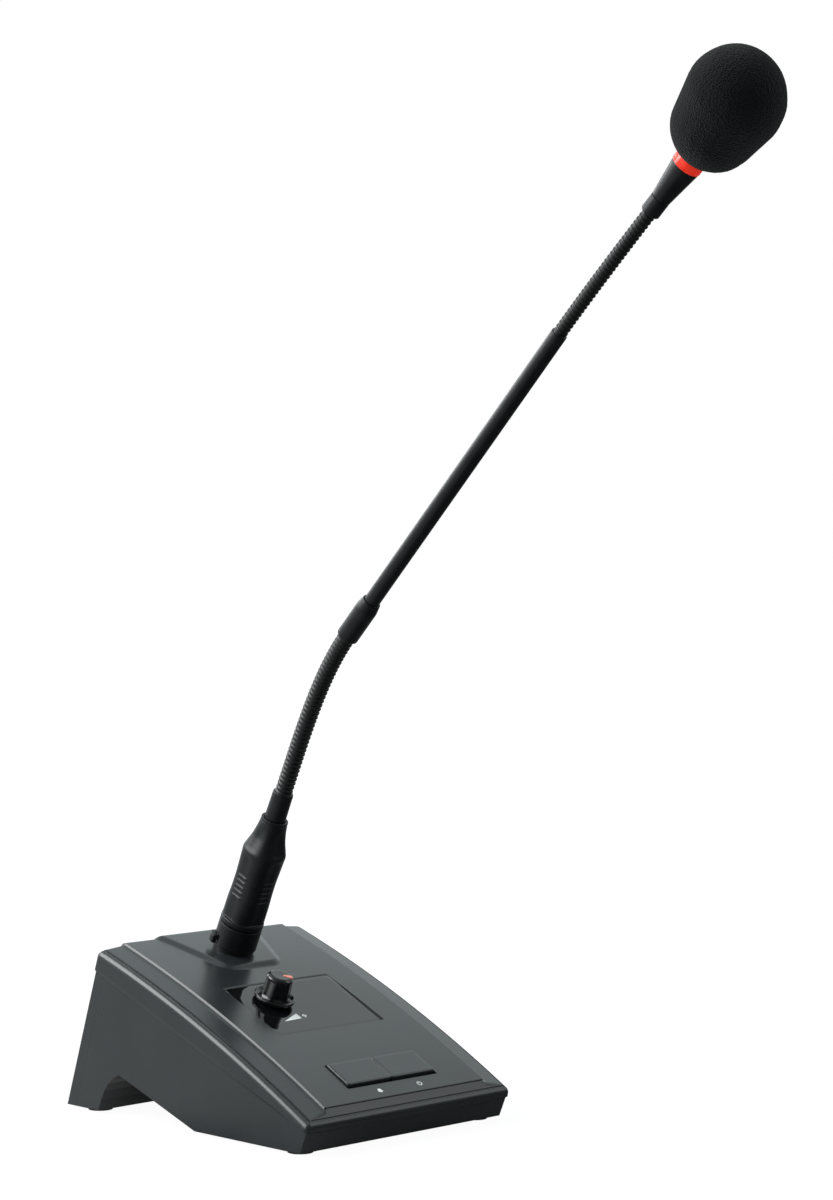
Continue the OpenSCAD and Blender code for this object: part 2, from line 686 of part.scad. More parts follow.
// A window through the socket's wall for the release tab
module tab_window() rotate(tab_turn) translate([-collar_d, -tab_w / 2 - tab_gap, tab_z - tab_h / 2 - tab_gap])
    cube([collar_d, tab_w + 2 * tab_gap, tab_h + 2 * tab_gap]);
module socket_body() color(black) on_plug() difference() {
    union() {
        rod(barrel_d, barrel_foot, collar_h - 0.4);
        intersection() {
            rod(flange_d, seat_z - flange_t, seat_z);
            translate([-flange_d / 2, -flange_d / 2, seat_z - flange_t])
                cube([flange_d, flange_d / 2 + flange_back, flange_t]);
        }
    }
    rod(barrel_bore, barrel_foot + 2, collar_h + 1);
    rod(insert_d - 3, barrel_foot - 1, barrel_foot + 3);
    tab_window();
    for (a = [0, 180]) rotate(a) translate([socket_screw_r, 0, 0])
        screw_hole(seat_z - flange_t - 1, seat_z + 1);
}
module socket_collar() color(black) on_plug() difference() {
    union() {
        rod(neck_ring_d, neck_ring_z, collar_z + 0.1);
        rod(collar_d, collar_z, collar_h);
    }
    rod(barrel_d + 2 * plug_clear, neck_ring_z - 1, collar_h + 1);
    tab_window();
}
module at_pins() for (a = [90, 210, 330]) rotate(a) translate([pin_circle, 0, 0]) children();
insert_top = 12;
contact_top = -15;
module socket_insert() color([0.10, 0.10, 0.11]) on_plug() difference() {
    rod(insert_d, barrel_foot + 2, insert_top);
    at_pins() rod(pin_d + 2 * plug_clear, nose_foot - 1, insert_top + 1);
    at_pins() rod(contact_d + 2 * plug_clear, barrel_foot, contact_top);
}
module socket_contacts() color("gold") on_plug() at_pins() rod(contact_d, barrel_foot - 4, contact_top - 0.1);
module socket_screws() color(steel) on_plug() for (a = [0, 180]) rotate(a)
    translate([socket_screw_r, 0, seat_z - flange_t - head_h]) screw(flange_t + 1.2);
module release_tab() color([0.14, 0.14, 0.15]) on_plug() rotate(tab_turn)
    translate([-collar_d / 2 - tab_proud, -tab_w / 2, tab_z - tab_h / 2])
    cube([tab_proud + tab_deep, tab_w, tab_h]);

module plug_shell() color(black) on_plug() rotate_extrude() polygon([
    [nose_d / 2 - nose_wall, nose_foot], [nose_d / 2, nose_foot], [nose_d / 2, ring_z],
    [collar_d / 2 - 0.5, ring_z], [collar_d / 2, ring_z + 0.5], [collar_d / 2, ring_z + ring_h - 0.5],
    [collar_d / 2 - 0.6, ring_z + ring_h], [plug_waist_d / 2, ring_z + ring_h], [plug_waist_d / 2, body_z],
    [plug_d / 2 - 0.1, body_z + 0.4], [plug_d / 2 - 0.1, body_z + 6], [plug_waist_d / 2, body_z + 15],
    [plug_waist_d / 2, body_z + 20], [plug_d / 2, shoulder_z], [nose_d / 2 - nose_wall, shoulder_z]]);
pin_plate = ring_z + 0.4;
pin_plate_t = 10;
pin_foot = 4.5;
pin_tail = 3;
module plug_insert() color([0.10, 0.10, 0.11]) on_plug() difference() {
    rod(nose_d - 2 * nose_wall - 2 * plug_clear, pin_plate, pin_plate + pin_plate_t);
    at_pins() rod(pin_d + 2 * screw_clear, pin_plate - 1, pin_plate + pin_plate_t + 1);
}
module plug_pins() color("silver") on_plug() at_pins()
    rod(pin_d, pin_foot, pin_plate + pin_plate_t + pin_tail);
boot_spigot_d = nose_d - 2 * nose_wall - 2 * plug_clear;
module plug_boot() color(black) on_plug() difference() {
    union() {
        rotate_extrude() polygon([[0, boot_base], [plug_d / 2, boot_base],
            [plug_d / 2 * 0.925, boot_base + 2.8], [(plug_d + boot_top_d) / 4, boot_base + 5.8],
            [boot_top_d / 2 + 1.1, boot_base + 8.7], [boot_top_d / 2 + 0.3, boot_base + 14.2],
            [boot_top_d / 2, boot_top - 2.2], [boot_top_d / 2, boot_top], [0, boot_top]]);
        rod(boot_spigot_d, boot_base - spigot_l, boot_base + 0.1);
    }
    rod(low_ferrule_d + 2 * neck_clear, boot_base + 8, boot_top + 1);
    rod(low_ferrule_d - 2, boot_base - spigot_l - 1, boot_base + 9);
}
low_spigot_d = low_flex_d - 2 * rib_depth - 0.4;
module lower_ferrule() color(black) on_plug() difference() {
    rod(low_ferrule_d, boot_base + 8.1, ferrule_top);
    rod(low_spigot_d + 2 * neck_clear, ferrule_top - spigot_deep - 0.5, ferrule_top + 1);
    rod(wire_d, boot_base, ferrule_top);
}

// One link of a flex: ribs, a ball on top and a seat below, or a plain spigot at either end of the chain
module flex_link(d, l, dip, first, last) {
    core = d / 2 - rib_depth;
    ball = core - 0.55;
    foot = first ? 0.05 : 0;
    head = last ? l - 0.05 : l - dip;
    ribs = floor((head - foot) / rib_pitch);
    step = (head - foot) / ribs;
    difference() {
        union() {
            rotate_extrude() polygon(concat([[0, foot]], [for (i = [0 : ribs - 1],
                p = [[core, 0], [d / 2, 0.25], [d / 2, 0.75], [core, 1]])
                [p[0], foot + (i + p[1]) * step]], [[0, head]]));
            if (first) rod(2 * core - 0.4, -spigot_deep, 0.1);
            if (last) rod(2 * core - 0.4, head - 0.1, l + spigot_deep);
            if (!last) intersection() {
                translate([0, 0, l]) sphere(ball);
                rod(d, l - dip - 0.5, l + ball * 0.65);
            }
        }
        rod(min(wire_d, core), -spigot_deep - 1, l + spigot_deep + 1);
        if (!first) sphere(ball + ball_clear);
    }
}
module lower_flex(i) color(black) on_axis(low_point(i), low_lean(i))
    flex_link(low_flex_d, low_link, low_dip, i == 0, i == links - 1);
module upper_flex(i) color(black) on_axis(up_point(i), up_lean(i))
    flex_link(up_flex_d, up_link, up_dip, i == 0, i == links - 1);

sleeve_tip_d = 8.5;
sleeve_taper = 4.5;
module coupling_sleeve() color(black) on_axis(sleeve_foot, tube_lean) difference() {
    union() {
        rod(sleeve_d, 0, sleeve_l - sleeve_taper);
        translate([0, 0, sleeve_l - sleeve_taper - 0.01])
            cylinder(d1 = sleeve_d, d2 = sleeve_tip_d, h = sleeve_taper + 0.01);
    }
    rod(low_spigot_d + 2 * neck_clear, -1, spigot_deep + 0.5);
    rod(wire_d, 0, sleeve_l);
    rod(tube_d + 2 * neck_clear, sleeve_l - tube_in, sleeve_l + 1);
}
tube_bore = tube_d - 2 * tube_wall;
module neck_tube() color(black) on_axis(sleeve_foot, tube_lean)
    tube(tube_d, tube_bore, sleeve_l - tube_in, sleeve_l + tube_l);

up_spigot_d = up_flex_d - 2 * rib_depth - 0.4;
tail_d = top_ferrule_d - 2 * head_wall - 2 * neck_clear;
tail_l = 5;
module top_ferrule() color(black) on_head() difference() {
    union() {
        rod(top_ferrule_d, 0, top_ferrule_l);
        rod(tail_d, top_ferrule_l - 0.1, top_ferrule_l + tail_l);
    }
    rod(up_spigot_d + 2 * neck_clear, -1, spigot_deep + 0.3);
    rod(wire_d, 0, top_ferrule_l + tail_l + 1);
}
thread_d = head_w - 2 * head_wall;
thread_l = ring_l + 3;
module capsule_housing() color(black) on_head() rotate_extrude() polygon([
    [top_ferrule_d / 2 - head_wall, top_ferrule_l], [top_ferrule_d / 2, top_ferrule_l],
    [head_w / 2, ring_foot], [thread_d / 2, ring_foot], [thread_d / 2, ring_foot + thread_l],
    [thread_d / 2 - head_wall, ring_foot + thread_l], [thread_d / 2 - head_wall, ring_foot]]);
module light_ring() color("red") on_head()
    tube(ring_d, thread_d + 2 * neck_clear, ring_foot, basket_foot);
light_board_t = 1;
module light_board() color([0.05, 0.30, 0.16]) on_head() {
    rod(thread_d - 2 * head_wall - 2 * neck_clear, ring_foot + 1, ring_foot + 1 + light_board_t);
    for (a = [0 : 90 : 270]) rotate(a) translate([thread_d / 4, 0, 0])
        translate([-0.8, -0.5, ring_foot + 1 + light_board_t - 0.05]) cube([1.6, 1, 0.8]);
}
slots = 8;
slot_foot = 12;
module capsule_basket() color(black) on_head() difference() {
    tube(head_w, thread_d + 2 * neck_clear, basket_foot, head_top);
    for (i = [0 : slots - 1]) rotate(i * 360 / slots) translate([head_w / 4, -0.75, head_top - slot_foot])
        cube([head_w / 2, 1.5, slot_foot - 3]);
}
grille_t = 0.8;
hole_rings = [[1, 0], [6, 1.8], [12, 3.5]];
module capsule_grille() color(steel) on_head() difference() {
    rod(thread_d, head_top - grille_t - 0.6, head_top - 0.6);
    for (r = hole_rings, i = [0 : r[0] - 1]) rotate(i * 360 / r[0]) translate([r[1], 0, 0])
        rod(1, head_top - grille_t - 1.6, head_top);
}
module capsule_holder() color([0.05, 0.05, 0.05]) on_head() difference() {
    rod(thread_d, capsule_z, capsule_z + holder_h);
    rod(capsule_d + 2 * screw_clear, capsule_z + holder_h - capsule_h, capsule_z + holder_h + 1);
    rod(capsule_d - 3, capsule_z - 1, capsule_z + holder_h);
}
module mic_capsule() color([0.75, 0.75, 0.72]) on_head()
    rod(capsule_d, capsule_z + holder_h - capsule_h + 0.02, capsule_z + holder_h);

// The foam's outline: a round foot and a larger round tip, joined by a straight flank
foam_bore = max(ring_d, head_w) + 2 * foam_gap;
foam_lip = 0.6;
foam_base_r = foam_base_d / 2;
foam_start = -acos((foam_bore / 2 + foam_lip) / foam_base_r);
foam_base_z = foam_foot - foam_base_r * sin(foam_start);
foam_tip_z = foam_foot + foam_l - foam_d / 2;
foam_flank = -asin((foam_d / 2 - foam_base_r) / (foam_tip_z - foam_base_z));
arc_steps = 10;
function arc(r, z, from, to) = [for (i = [0 : arc_steps]) let (a = from + (to - from) * i / arc_steps)
    [r * cos(a), z + r * sin(a)]];
module windscreen() color([0.03, 0.03, 0.03]) on_head() rotate_extrude() polygon(concat(
    [[foam_bore / 2, foam_foot]], arc(foam_base_r, foam_base_z, foam_start, foam_flank),
    arc(foam_d / 2, foam_tip_z, foam_flank, 90),
    [[0, head_top + foam_gap], [foam_bore / 2, head_top + foam_gap]]));

lower_housing();
rear_panel();
top_cover();
panel_film();
ballast_plate();
rubber_feet();
cover_screws();
rear_screws();
main_board();
board_screws();
bell_switch();
power_switch();
bell_plunger();
power_plunger();
bell_key();
power_key();
pot_body();
pot_nut();
pot_shaft();
volume_knob();
knob_pointer();
output_jack();
jack_nut();
power_inlet();
inlet_nut();
socket_body();
socket_collar();
socket_insert();
socket_contacts();
socket_screws();
release_tab();
plug_shell();
plug_insert();
plug_pins();
plug_boot();
lower_ferrule();
lower_flex(0);  // lower_flex_1
lower_flex(1);  // lower_flex_2
lower_flex(2);  // lower_flex_3
lower_flex(3);  // lower_flex_4
lower_flex(4);  // lower_flex_5
lower_flex(5);  // lower_flex_6
coupling_sleeve();
neck_tube();
upper_flex(0);  // upper_flex_1
upper_flex(1);  // upper_flex_2
upper_flex(2);  // upper_flex_3
upper_flex(3);  // upper_flex_4
upper_flex(4);  // upper_flex_5
upper_flex(5);  // upper_flex_6
top_ferrule();
capsule_housing();
light_ring();
light_board();
capsule_basket();
capsule_grille();
capsule_holder();
mic_capsule();
windscreen();
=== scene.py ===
import math
import bmesh
import bpy
import numpy as np
from mathutils import Matrix


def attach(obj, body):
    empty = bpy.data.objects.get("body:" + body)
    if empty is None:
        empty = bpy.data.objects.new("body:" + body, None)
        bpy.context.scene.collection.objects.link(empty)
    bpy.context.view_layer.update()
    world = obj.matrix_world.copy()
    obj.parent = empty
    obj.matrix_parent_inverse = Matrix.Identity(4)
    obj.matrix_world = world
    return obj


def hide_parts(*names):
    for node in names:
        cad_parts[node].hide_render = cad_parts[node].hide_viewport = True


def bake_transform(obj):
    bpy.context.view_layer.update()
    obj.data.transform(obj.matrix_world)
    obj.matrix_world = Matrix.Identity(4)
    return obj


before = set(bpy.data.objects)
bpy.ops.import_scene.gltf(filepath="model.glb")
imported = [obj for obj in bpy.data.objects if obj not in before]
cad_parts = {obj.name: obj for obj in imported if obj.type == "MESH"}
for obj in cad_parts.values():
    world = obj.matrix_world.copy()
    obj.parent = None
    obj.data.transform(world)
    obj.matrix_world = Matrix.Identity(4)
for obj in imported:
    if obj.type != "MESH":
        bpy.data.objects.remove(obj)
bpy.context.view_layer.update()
mm = 0.001
print("frame loaded:", len(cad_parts), "nodes")

# sizes of the base, in mm, as in the part's source
base = {"width": 119, "frontReach": 73.6, "rearReach": 82.3, "frontLean": 24, "rearLean": 18.5, "footH": 1.2,
        "partH": 11.0, "partSlope": 21, "coverOver": 1.2, "lipH": 3.8, "topSlope": 29.1, "crownR": 750}


def direction(angle):
    # unit vector of the side view: the cosine and sine of an angle in degrees
    return np.array([math.cos(math.radians(angle)), math.sin(math.radians(angle))])


def cross2(a, b):
    # flat cross product: the area that two vectors span
    return a[0] * b[1] - a[1] * b[0]


def meet(p, a, q, b):
    # crossing of two lines of the side view, each a point and an angle, by the ratio of two flat cross products
    return p + direction(a) * cross2(q - p, direction(b)) / cross2(direction(a), direction(b))


partPoint = np.array([-base["frontReach"], base["footH"] + base["partH"]])
frontFoot, rearFoot = np.array([-base["frontReach"], base["footH"]]), np.array([base["rearReach"], base["footH"]])
frontPart = meet(frontFoot, 90 + base["frontLean"], partPoint, base["partSlope"])
rearPart = meet(rearFoot, 90 + base["rearLean"], partPoint, base["partSlope"])
coverFront = frontPart - base["coverOver"] * direction(base["partSlope"])
coverRear = rearPart + base["coverOver"] * direction(base["partSlope"])
topFront = coverFront + base["lipH"] * direction(90 + base["frontLean"])
crown = topFront + base["crownR"] * np.array([math.sin(math.radians(base["topSlope"])),
                                               -math.cos(math.radians(base["topSlope"]))])


def topPoint(x, s, h):
    # the crowned top: s mm up the slope from the front edge, h mm above the rim line
    slope = math.radians(base["topSlope"]) - s / base["crownR"]
    return np.stack([x + 0 * s + 0 * h, crown[0] - (base["crownR"] + h) * np.sin(slope) + 0 * x,
                     crown[1] + (base["crownR"] + h) * np.cos(slope) + 0 * x], -1)


def slopeAt(s):
    # slope of the top in degrees: the front's slope less the arc turned through in s mm
    return base["topSlope"] - math.degrees(s / base["crownR"])


def onAxis(local, point, lean):
    # local x, y, z to the row frame: turned by lean about X, then moved to the side-view point
    c, k = math.cos(math.radians(lean)), math.sin(math.radians(lean))
    x, y, z = local[..., 0], local[..., 1], local[..., 2]
    return np.stack([x, point[0] + y * c - z * k, point[1] + y * k + z * c], -1)


def upDir(lean):
    # unit vector of the side view along an axis that leans to the front by so many degrees
    return np.array([-math.sin(math.radians(lean)), math.cos(math.radians(lean))])


# mesh helpers
def smoothStep(t):
    # 0 below 0 and 1 above 1, with three t squared less two t cubed between
    t = np.clip(t, 0, 1)
    return t * t * (3 - 2 * t)


def gridQuads(rows, cols, wrap):
    # quads of a rows x cols grid of points, closed round the columns where wrap is true
    r = np.arange(rows - 1)[:, None]
    c = np.arange(cols if wrap else cols - 1)[None, :]
    n = (c + 1) % cols
    return np.stack([r * cols + c, r * cols + n, (r + 1) * cols + n, (r + 1) * cols + c], -1).reshape(-1, 4)


def makePiece(name, points, faces, material, sharp=40):
    # mm to metres, doubles merged so that poles and seams close, normals outwards
    mesh = bpy.data.meshes.new(name)
    mesh.from_pydata((np.asarray(points, float).reshape(-1, 3) * mm).tolist(), [],
                     [list(map(int, f)) for f in faces])
    bm = bmesh.new()
    bm.from_mesh(mesh)
    bmesh.ops.remove_doubles(bm, verts=bm.verts, dist=2e-7)
    bmesh.ops.recalc_face_normals(bm, faces=bm.faces)
    bm.to_mesh(mesh)
    bm.free()
    mesh.shade_smooth()
    mesh.set_sharp_from_angle(angle=math.radians(sharp))
    mesh.materials.append(material)
    obj = bpy.data.objects.new(name, mesh)
    bpy.context.scene.collection.objects.link(obj)
    return obj


def settle(obj, body, slot, *nodes):
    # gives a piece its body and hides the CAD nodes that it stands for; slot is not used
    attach(obj, body)
    if nodes:
        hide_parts(*nodes)
    return obj


def roundCorners(points, radii, steps=5):
    # a polyline whose corners become curves: each starts its radius before the corner and ends as far after it
    points = np.asarray(points, float)
    out = [points[:1]]
    t = np.linspace(0, 1, steps + 1)[:, None]
    for i in range(1, len(points) - 1):
        a, p, b = points[i - 1], points[i], points[i + 1]
        r = min(radii[i], 0.48 * np.linalg.norm(p - a), 0.48 * np.linalg.norm(b - p))
        if r < 1e-6:
            out.append(p[None])
            continue
        s, e = p + (a - p) / np.linalg.norm(a - p) * r, p + (b - p) / np.linalg.norm(b - p) * r
        out.append(s * (1 - t) ** 2 + 2 * p * t * (1 - t) + e * t * t)
    out.append(points[-1:])
    return np.concatenate(out)


def turned(profile, segments, place, change=None):
    # a profile of radius and height turned about its axis; change(radius, angle, height) may vary the radius
    angle = np.linspace(0, 2 * np.pi, segments, endpoint=False)[None, :]
    r, z = profile[:, :1] + 0 * angle, profile[:, 1:] + 0 * angle
    if change is not None:
        r = change(r, angle + 0 * r, z)
    local = np.stack([r * np.cos(angle), r * np.sin(angle), z], -1)
    return place(local), gridQuads(len(profile), segments, True)


def densify(profile, step):
    # more points along a profile, no further apart than step
    out = [profile[:1]]
    for a, b in zip(profile[:-1], profile[1:]):
        n = max(1, int(math.ceil(np.linalg.norm(b - a) / step)))
        out.append(a + (b - a) * (np.arange(1, n + 1) / n)[:, None])
    return np.concatenate(out)


def turnedPiece(name, profile, radii, step, segments, place, finish, home, change=None, sharp=40):
    # a profile with rounded corners, turned about its axis; home is its body, its slot and its CAD node
    shape = roundCorners(profile, radii)
    if step:
        shape = densify(shape, step)
    return settle(makePiece(name, *turned(shape, segments, place, change), finish, sharp), *home)


# materials
def linear(hexColour):
    # sRGB hex to linear light: each channel back through the sRGB curve
    c = np.array([int(hexColour[i:i + 2], 16) / 255 for i in (1, 3, 5)])
    return (*np.where(c <= 0.04045, c / 12.92, ((c + 0.055) / 1.055) ** 2.4), 1.0)


def add(tree, kind, settings=None, links=None):
    # one node with its settings and links; a setting on a socket is given by the socket's name
    node = tree.nodes.new(kind)
    for key, value in (settings or {}).items():
        if key in node.inputs:
            node.inputs[key].default_value = value
        else:
            setattr(node, key, value)
    for key, source in (links or {}).items():
        tree.links.new(source, node.inputs[key])
    return node


def surface(name, spec):
    # a principled surface with a fine grain (bump), a slow change of tone and of roughness, and rounded edges
    material = bpy.data.materials.new(name)
    material.use_nodes = True
    tree = material.node_tree
    tree.nodes.clear()
    where = add(tree, "ShaderNodeTexCoord").outputs["Object"]
    grain = add(tree, "ShaderNodeTexNoise", {"Scale": 1 / (spec["grainMm"] * mm), "Detail": 3}, {"Vector": where})
    cloud = add(tree, "ShaderNodeTexNoise", {"Scale": 1 / (spec["cloudMm"] * mm), "Detail": 4}, {"Vector": where})
    tone = add(tree, "ShaderNodeValToRGB", {}, {"Fac": cloud.outputs["Fac"]})
    dark, light = linear(spec["colour"][0]), linear(spec["colour"][1])
    tone.color_ramp.elements[0].position, tone.color_ramp.elements[0].color = 0.3, dark
    tone.color_ramp.elements[1].position, tone.color_ramp.elements[1].color = 0.7, light
    rough = add(tree, "ShaderNodeMapRange", {"To Min": spec["rough"][0], "To Max": spec["rough"][1]},
                {"Value": cloud.outputs["Fac"]})
    bumpLinks = {"Height": grain.outputs["Fac"]}
    if spec.get("edgeMm"):
        edge = add(tree, "ShaderNodeBevel", {"Radius": spec["edgeMm"] * mm, "samples": 4})
        bumpLinks["Normal"] = edge.outputs["Normal"]
    bump = add(tree, "ShaderNodeBump", {"Strength": spec["bump"], "Distance": spec["bumpMm"] * mm}, bumpLinks)
    shader = add(tree, "ShaderNodeBsdfPrincipled", spec.get("sockets", {}),
                 {"Base Color": tone.outputs["Color"], "Roughness": rough.outputs["Result"],
                  "Normal": bump.outputs["Normal"]})
    add(tree, "ShaderNodeOutputMaterial", {}, {"Surface": shader.outputs["BSDF"]})
    return material


# ABS from a spark-eroded mould: a fine even grain and a soft sheen; the keys are a little smoother
absSpec = {"colour": ("#25292B", "#292D2F"), "rough": (0.23, 0.29), "grainMm": 0.2, "bump": 0.05, "bumpMm": 0.02,
           "cloudMm": 25, "sockets": {"Specular IOR Level": 0.47}}
absCover = surface("absCover", absSpec)
absHousing = surface("absHousing", {**absSpec, "edgeMm": 0.6, "rough": (0.26, 0.34)})
absKey = surface("absKey", {**absSpec, "colour": ("#272B2D", "#2B2F31"), "rough": (0.18, 0.24), "bump": 0.08})
# acrylic film: polished, so that it mirrors the knob and the plug
filmAcrylic = surface("filmAcrylic", {"colour": ("#0B0D0E", "#0E1011"), "rough": (0.02, 0.05), "grainMm": 8,
                                      "bump": 0.02, "bumpMm": 0.02, "cloudMm": 30})
# ABS of the knob, from a polished mould: small hard highlights
knobGloss = surface("knobGloss", {"colour": ("#0D0E0F", "#121314"), "rough": (0.08, 0.16), "grainMm": 1.2,
                                  "bump": 0.05, "bumpMm": 0.02, "cloudMm": 5})
# enamel of the pointer: orange and half dull; the paler streak down its middle is a painted highlight
pointerPaint = surface("pointerPaint", {"colour": ("#E8694A", "#F0806A"), "rough": (0.3, 0.4), "grainMm": 0.3,
                                        "bump": 0.1, "bumpMm": 0.01, "cloudMm": 2})
pointerHighlight = surface("pointerHighlight", {"colour": ("#F0A283", "#F6B79C"), "rough": (0.3, 0.4), "grainMm": 0.3,
                                       "bump": 0.1, "bumpMm": 0.01, "cloudMm": 2})
# screen-printed white ink: flat, even and dull
printWhite = surface("printWhite", {"colour": ("#E9ECEC", "#F4F6F6"), "rough": (0.4, 0.5), "grainMm": 0.2,
                                    "bump": 0.1, "bumpMm": 0.01, "cloudMm": 2})
# black lacquer on brass and zinc: satin, slightly orange-peeled, with softened edges
blackCoat = surface("blackCoat", {"colour": ("#0F1112", "#15181A"), "rough": (0.32, 0.44), "grainMm": 0.6,
                                  "bump": 0.12, "bumpMm": 0.03, "cloudMm": 6, "edgeMm": 0.25,
                                  "sockets": {"Specular IOR Level": 0.27}})
# moulded elastomer of the plug's grip and boot: black, with a dull broad sheen
plugRubber = surface("plugRubber", {"colour": ("#111415", "#171B1D"), "rough": (0.34, 0.44), "grainMm": 0.35,
                                    "bump": 0.2, "bumpMm": 0.03, "cloudMm": 7,
                                    "sockets": {"Specular IOR Level": 0.27}})
# lacquered steel winding of the flexes: nearly matt, so that only the turns catch light
flexCoat = surface("flexCoat", {"colour": ("#0C0D0E", "#121415"), "rough": (0.36, 0.5), "grainMm": 0.5,
                                "bump": 0.15, "bumpMm": 0.03, "cloudMm": 9})
# moulded rubber of the feet and the capsule's holder: deep black without a highlight
footRubber = surface("footRubber", {"colour": ("#0E0E0E", "#151515"), "rough": (0.7, 0.85), "grainMm": 0.4,
                                    "bump": 0.3, "bumpMm": 0.05, "cloudMm": 4})
# zinc-plated steel of screws and nuts: cool grey with a soft shine
zincSteel = surface("zincSteel", {"colour": ("#A4A7AA", "#B4B7BA"), "rough": (0.28, 0.4), "grainMm": 0.3,
                                  "bump": 0.1, "bumpMm": 0.02, "cloudMm": 5, "sockets": {"Metallic": 1.0}})
# turned brass of contacts and pins: warm and bright
brass = surface("brass", {"colour": ("#C49A45", "#D2AC58"), "rough": (0.2, 0.3), "grainMm": 0.3, "bump": 0.05,
                          "bumpMm": 0.01, "cloudMm": 3, "sockets": {"Metallic": 1.0}})
# drawn aluminium of the capsule's can: pale, with a soft shine
aluminium = surface("aluminium", {"colour": ("#B2B4B6", "#C2C4C6"), "rough": (0.25, 0.35), "grainMm": 0.3,
                                  "bump": 0.08, "bumpMm": 0.01, "cloudMm": 4, "sockets": {"Metallic": 1.0}})
# solder mask on glass fibre board: glossy green
solderMask = surface("solderMask", {"colour": ("#1B5434", "#21623E"), "rough": (0.25, 0.35), "grainMm": 1,
                                    "bump": 0.1, "bumpMm": 0.03, "cloudMm": 8})
# moulded acetal of the plungers: ivory, slightly waxy
ivoryPom = surface("ivoryPom", {"colour": ("#D4CFBD", "#DDD9C9"), "rough": (0.35, 0.45), "grainMm": 0.4,
                                "bump": 0.1, "bumpMm": 0.02, "cloudMm": 4})
# moulded PBT of switches, sockets and inserts: black and half dull
blackPbt = surface("blackPbt", {"colour": ("#161718", "#1C1D1E"), "rough": (0.4, 0.5), "grainMm": 0.4,
                                "bump": 0.15, "bumpMm": 0.02, "cloudMm": 5})
# moulded acrylic of the light ring, lit from inside: an even red with a clear highlight
ringAcrylic = surface("ringAcrylic", {"colour": ("#DE2616", "#EA3A22"), "rough": (0.15, 0.22), "grainMm": 1,
                                      "bump": 0.05, "bumpMm": 0.02, "cloudMm": 3,
                                      "sockets": {"Emission Color": linear("#E8301C"), "Emission Strength": 0.35}})


def foamMaterial():
    # open-cell polyurethane: dark pits about 0.5 mm wide between fine struts, without shine
    # the pits are drawn 0.8 mm wide, because real ones are too fine to show
    material = bpy.data.materials.new("foamOpenCell")
    material.use_nodes = True
    tree = material.node_tree
    tree.nodes.clear()
    where = add(tree, "ShaderNodeTexCoord").outputs["Object"]
    cells = add(tree, "ShaderNodeTexVoronoi", {"Scale": 1 / (0.8 * mm)}, {"Vector": where})
    fluff = add(tree, "ShaderNodeTexNoise", {"Scale": 1 / (0.5 * mm), "Detail": 5}, {"Vector": where})
    height = add(tree, "ShaderNodeMath", {"operation": "ADD"})
    tree.links.new(cells.outputs["Distance"], height.inputs[0])
    tree.links.new(fluff.outputs["Fac"], height.inputs[1])
    # the pits are coloured darker than the struts: painted shade in the hollows
    tone = add(tree, "ShaderNodeValToRGB", {}, {"Fac": height.outputs["Value"]})
    tone.color_ramp.elements[0].position, tone.color_ramp.elements[0].color = 0.35, linear("#040404")
    tone.color_ramp.elements[1].position, tone.color_ramp.elements[1].color = 1.0, linear("#101112")
    bump = add(tree, "ShaderNodeBump", {"Strength": 0.9, "Distance": 0.5 * mm},
               {"Height": height.outputs["Value"]})
    shader = add(tree, "ShaderNodeBsdfPrincipled",
                 {"Roughness": 1.0, "Specular IOR Level": 0.05, "Sheen Weight": 0.08, "Sheen Roughness": 0.6},
                 {"Base Color": tone.outputs["Color"], "Normal": bump.outputs["Normal"]})
    add(tree, "ShaderNodeOutputMaterial", {}, {"Surface": shader.outputs["BSDF"]})
    return material


foamCell = foamMaterial()

# CAD nodes that stay in view, or inside, and their finishes
nodeFinish = {
    "lower_housing": absHousing, "rear_panel": absHousing, "rubber_feet": footRubber, "capsule_holder": footRubber,
    "main_board": solderMask, "light_board": solderMask, "bell_plunger": ivoryPom, "power_plunger": ivoryPom,
    "bell_switch": blackPbt, "power_switch": blackPbt, "output_jack": blackPbt, "power_inlet": blackPbt,
    "socket_insert": blackPbt, "plug_insert": blackPbt, "socket_contacts": brass, "plug_pins": brass,
    "socket_body": blackCoat, "capsule_basket": blackCoat, "mic_capsule": aluminium}
for nodeName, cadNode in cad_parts.items():
    cadNode.data.materials.clear()
    cadNode.data.materials.append(nodeFinish.get(nodeName, zincSteel))
print("materials ready")

# cover: one height over the crowned top, with a rolled rim, groove, panel, pad, slot and pocket
cover = {"half": 60.7, "rimR": 3.3, "cornerR": 2.4, "margin": 0.3, "sideRise": 1.05, "frontRise": 1.75,
         "grooveIn": 2.15, "grooveW": 1.25, "grooveD": 0.95, "frontGrooveD": 0.12,
         "panelHalf": 47.25, "panelIn": 7.0, "panelH": 2.5, "panelRound": 0.6,
         "slotHalf": 26.4, "slotFrom": 15.75, "slotTo": 32.95, "slotDeep": 5.0,
         "filmHalf": 31.05, "filmMid": 78.2, "filmLong": 20.05, "filmSink": 0.55, "filmTilt": 1.2, "filmT": 0.6,
         "padFront": 113.8, "padFrontHalf": 15.3, "padRearHalf": 28.5, "padH": 1.4, "padRamp": 4.2}


def rearEnd(h):
    # distance up the slope at which the surface h above the rim line meets the cover's rear plane, by small steps
    normal = np.array([math.cos(math.radians(base["rearLean"])), math.sin(math.radians(base["rearLean"]))])
    s = 150.0
    for _ in range(60):
        p = topPoint(np.array(0.0), np.array(s), np.array(h))
        s -= 0.7 * float((p[1:] - coverRear) @ normal)
    return s


coverLong = rearEnd(0.0)


def gridLines(spans):
    # sorted coordinates from spans of (first, last, step), without near doubles
    lines = np.sort(np.concatenate([np.append(np.arange(a, b, d), b) for a, b, d in spans]))
    return lines[np.append(True, np.diff(lines) > 0.012)]


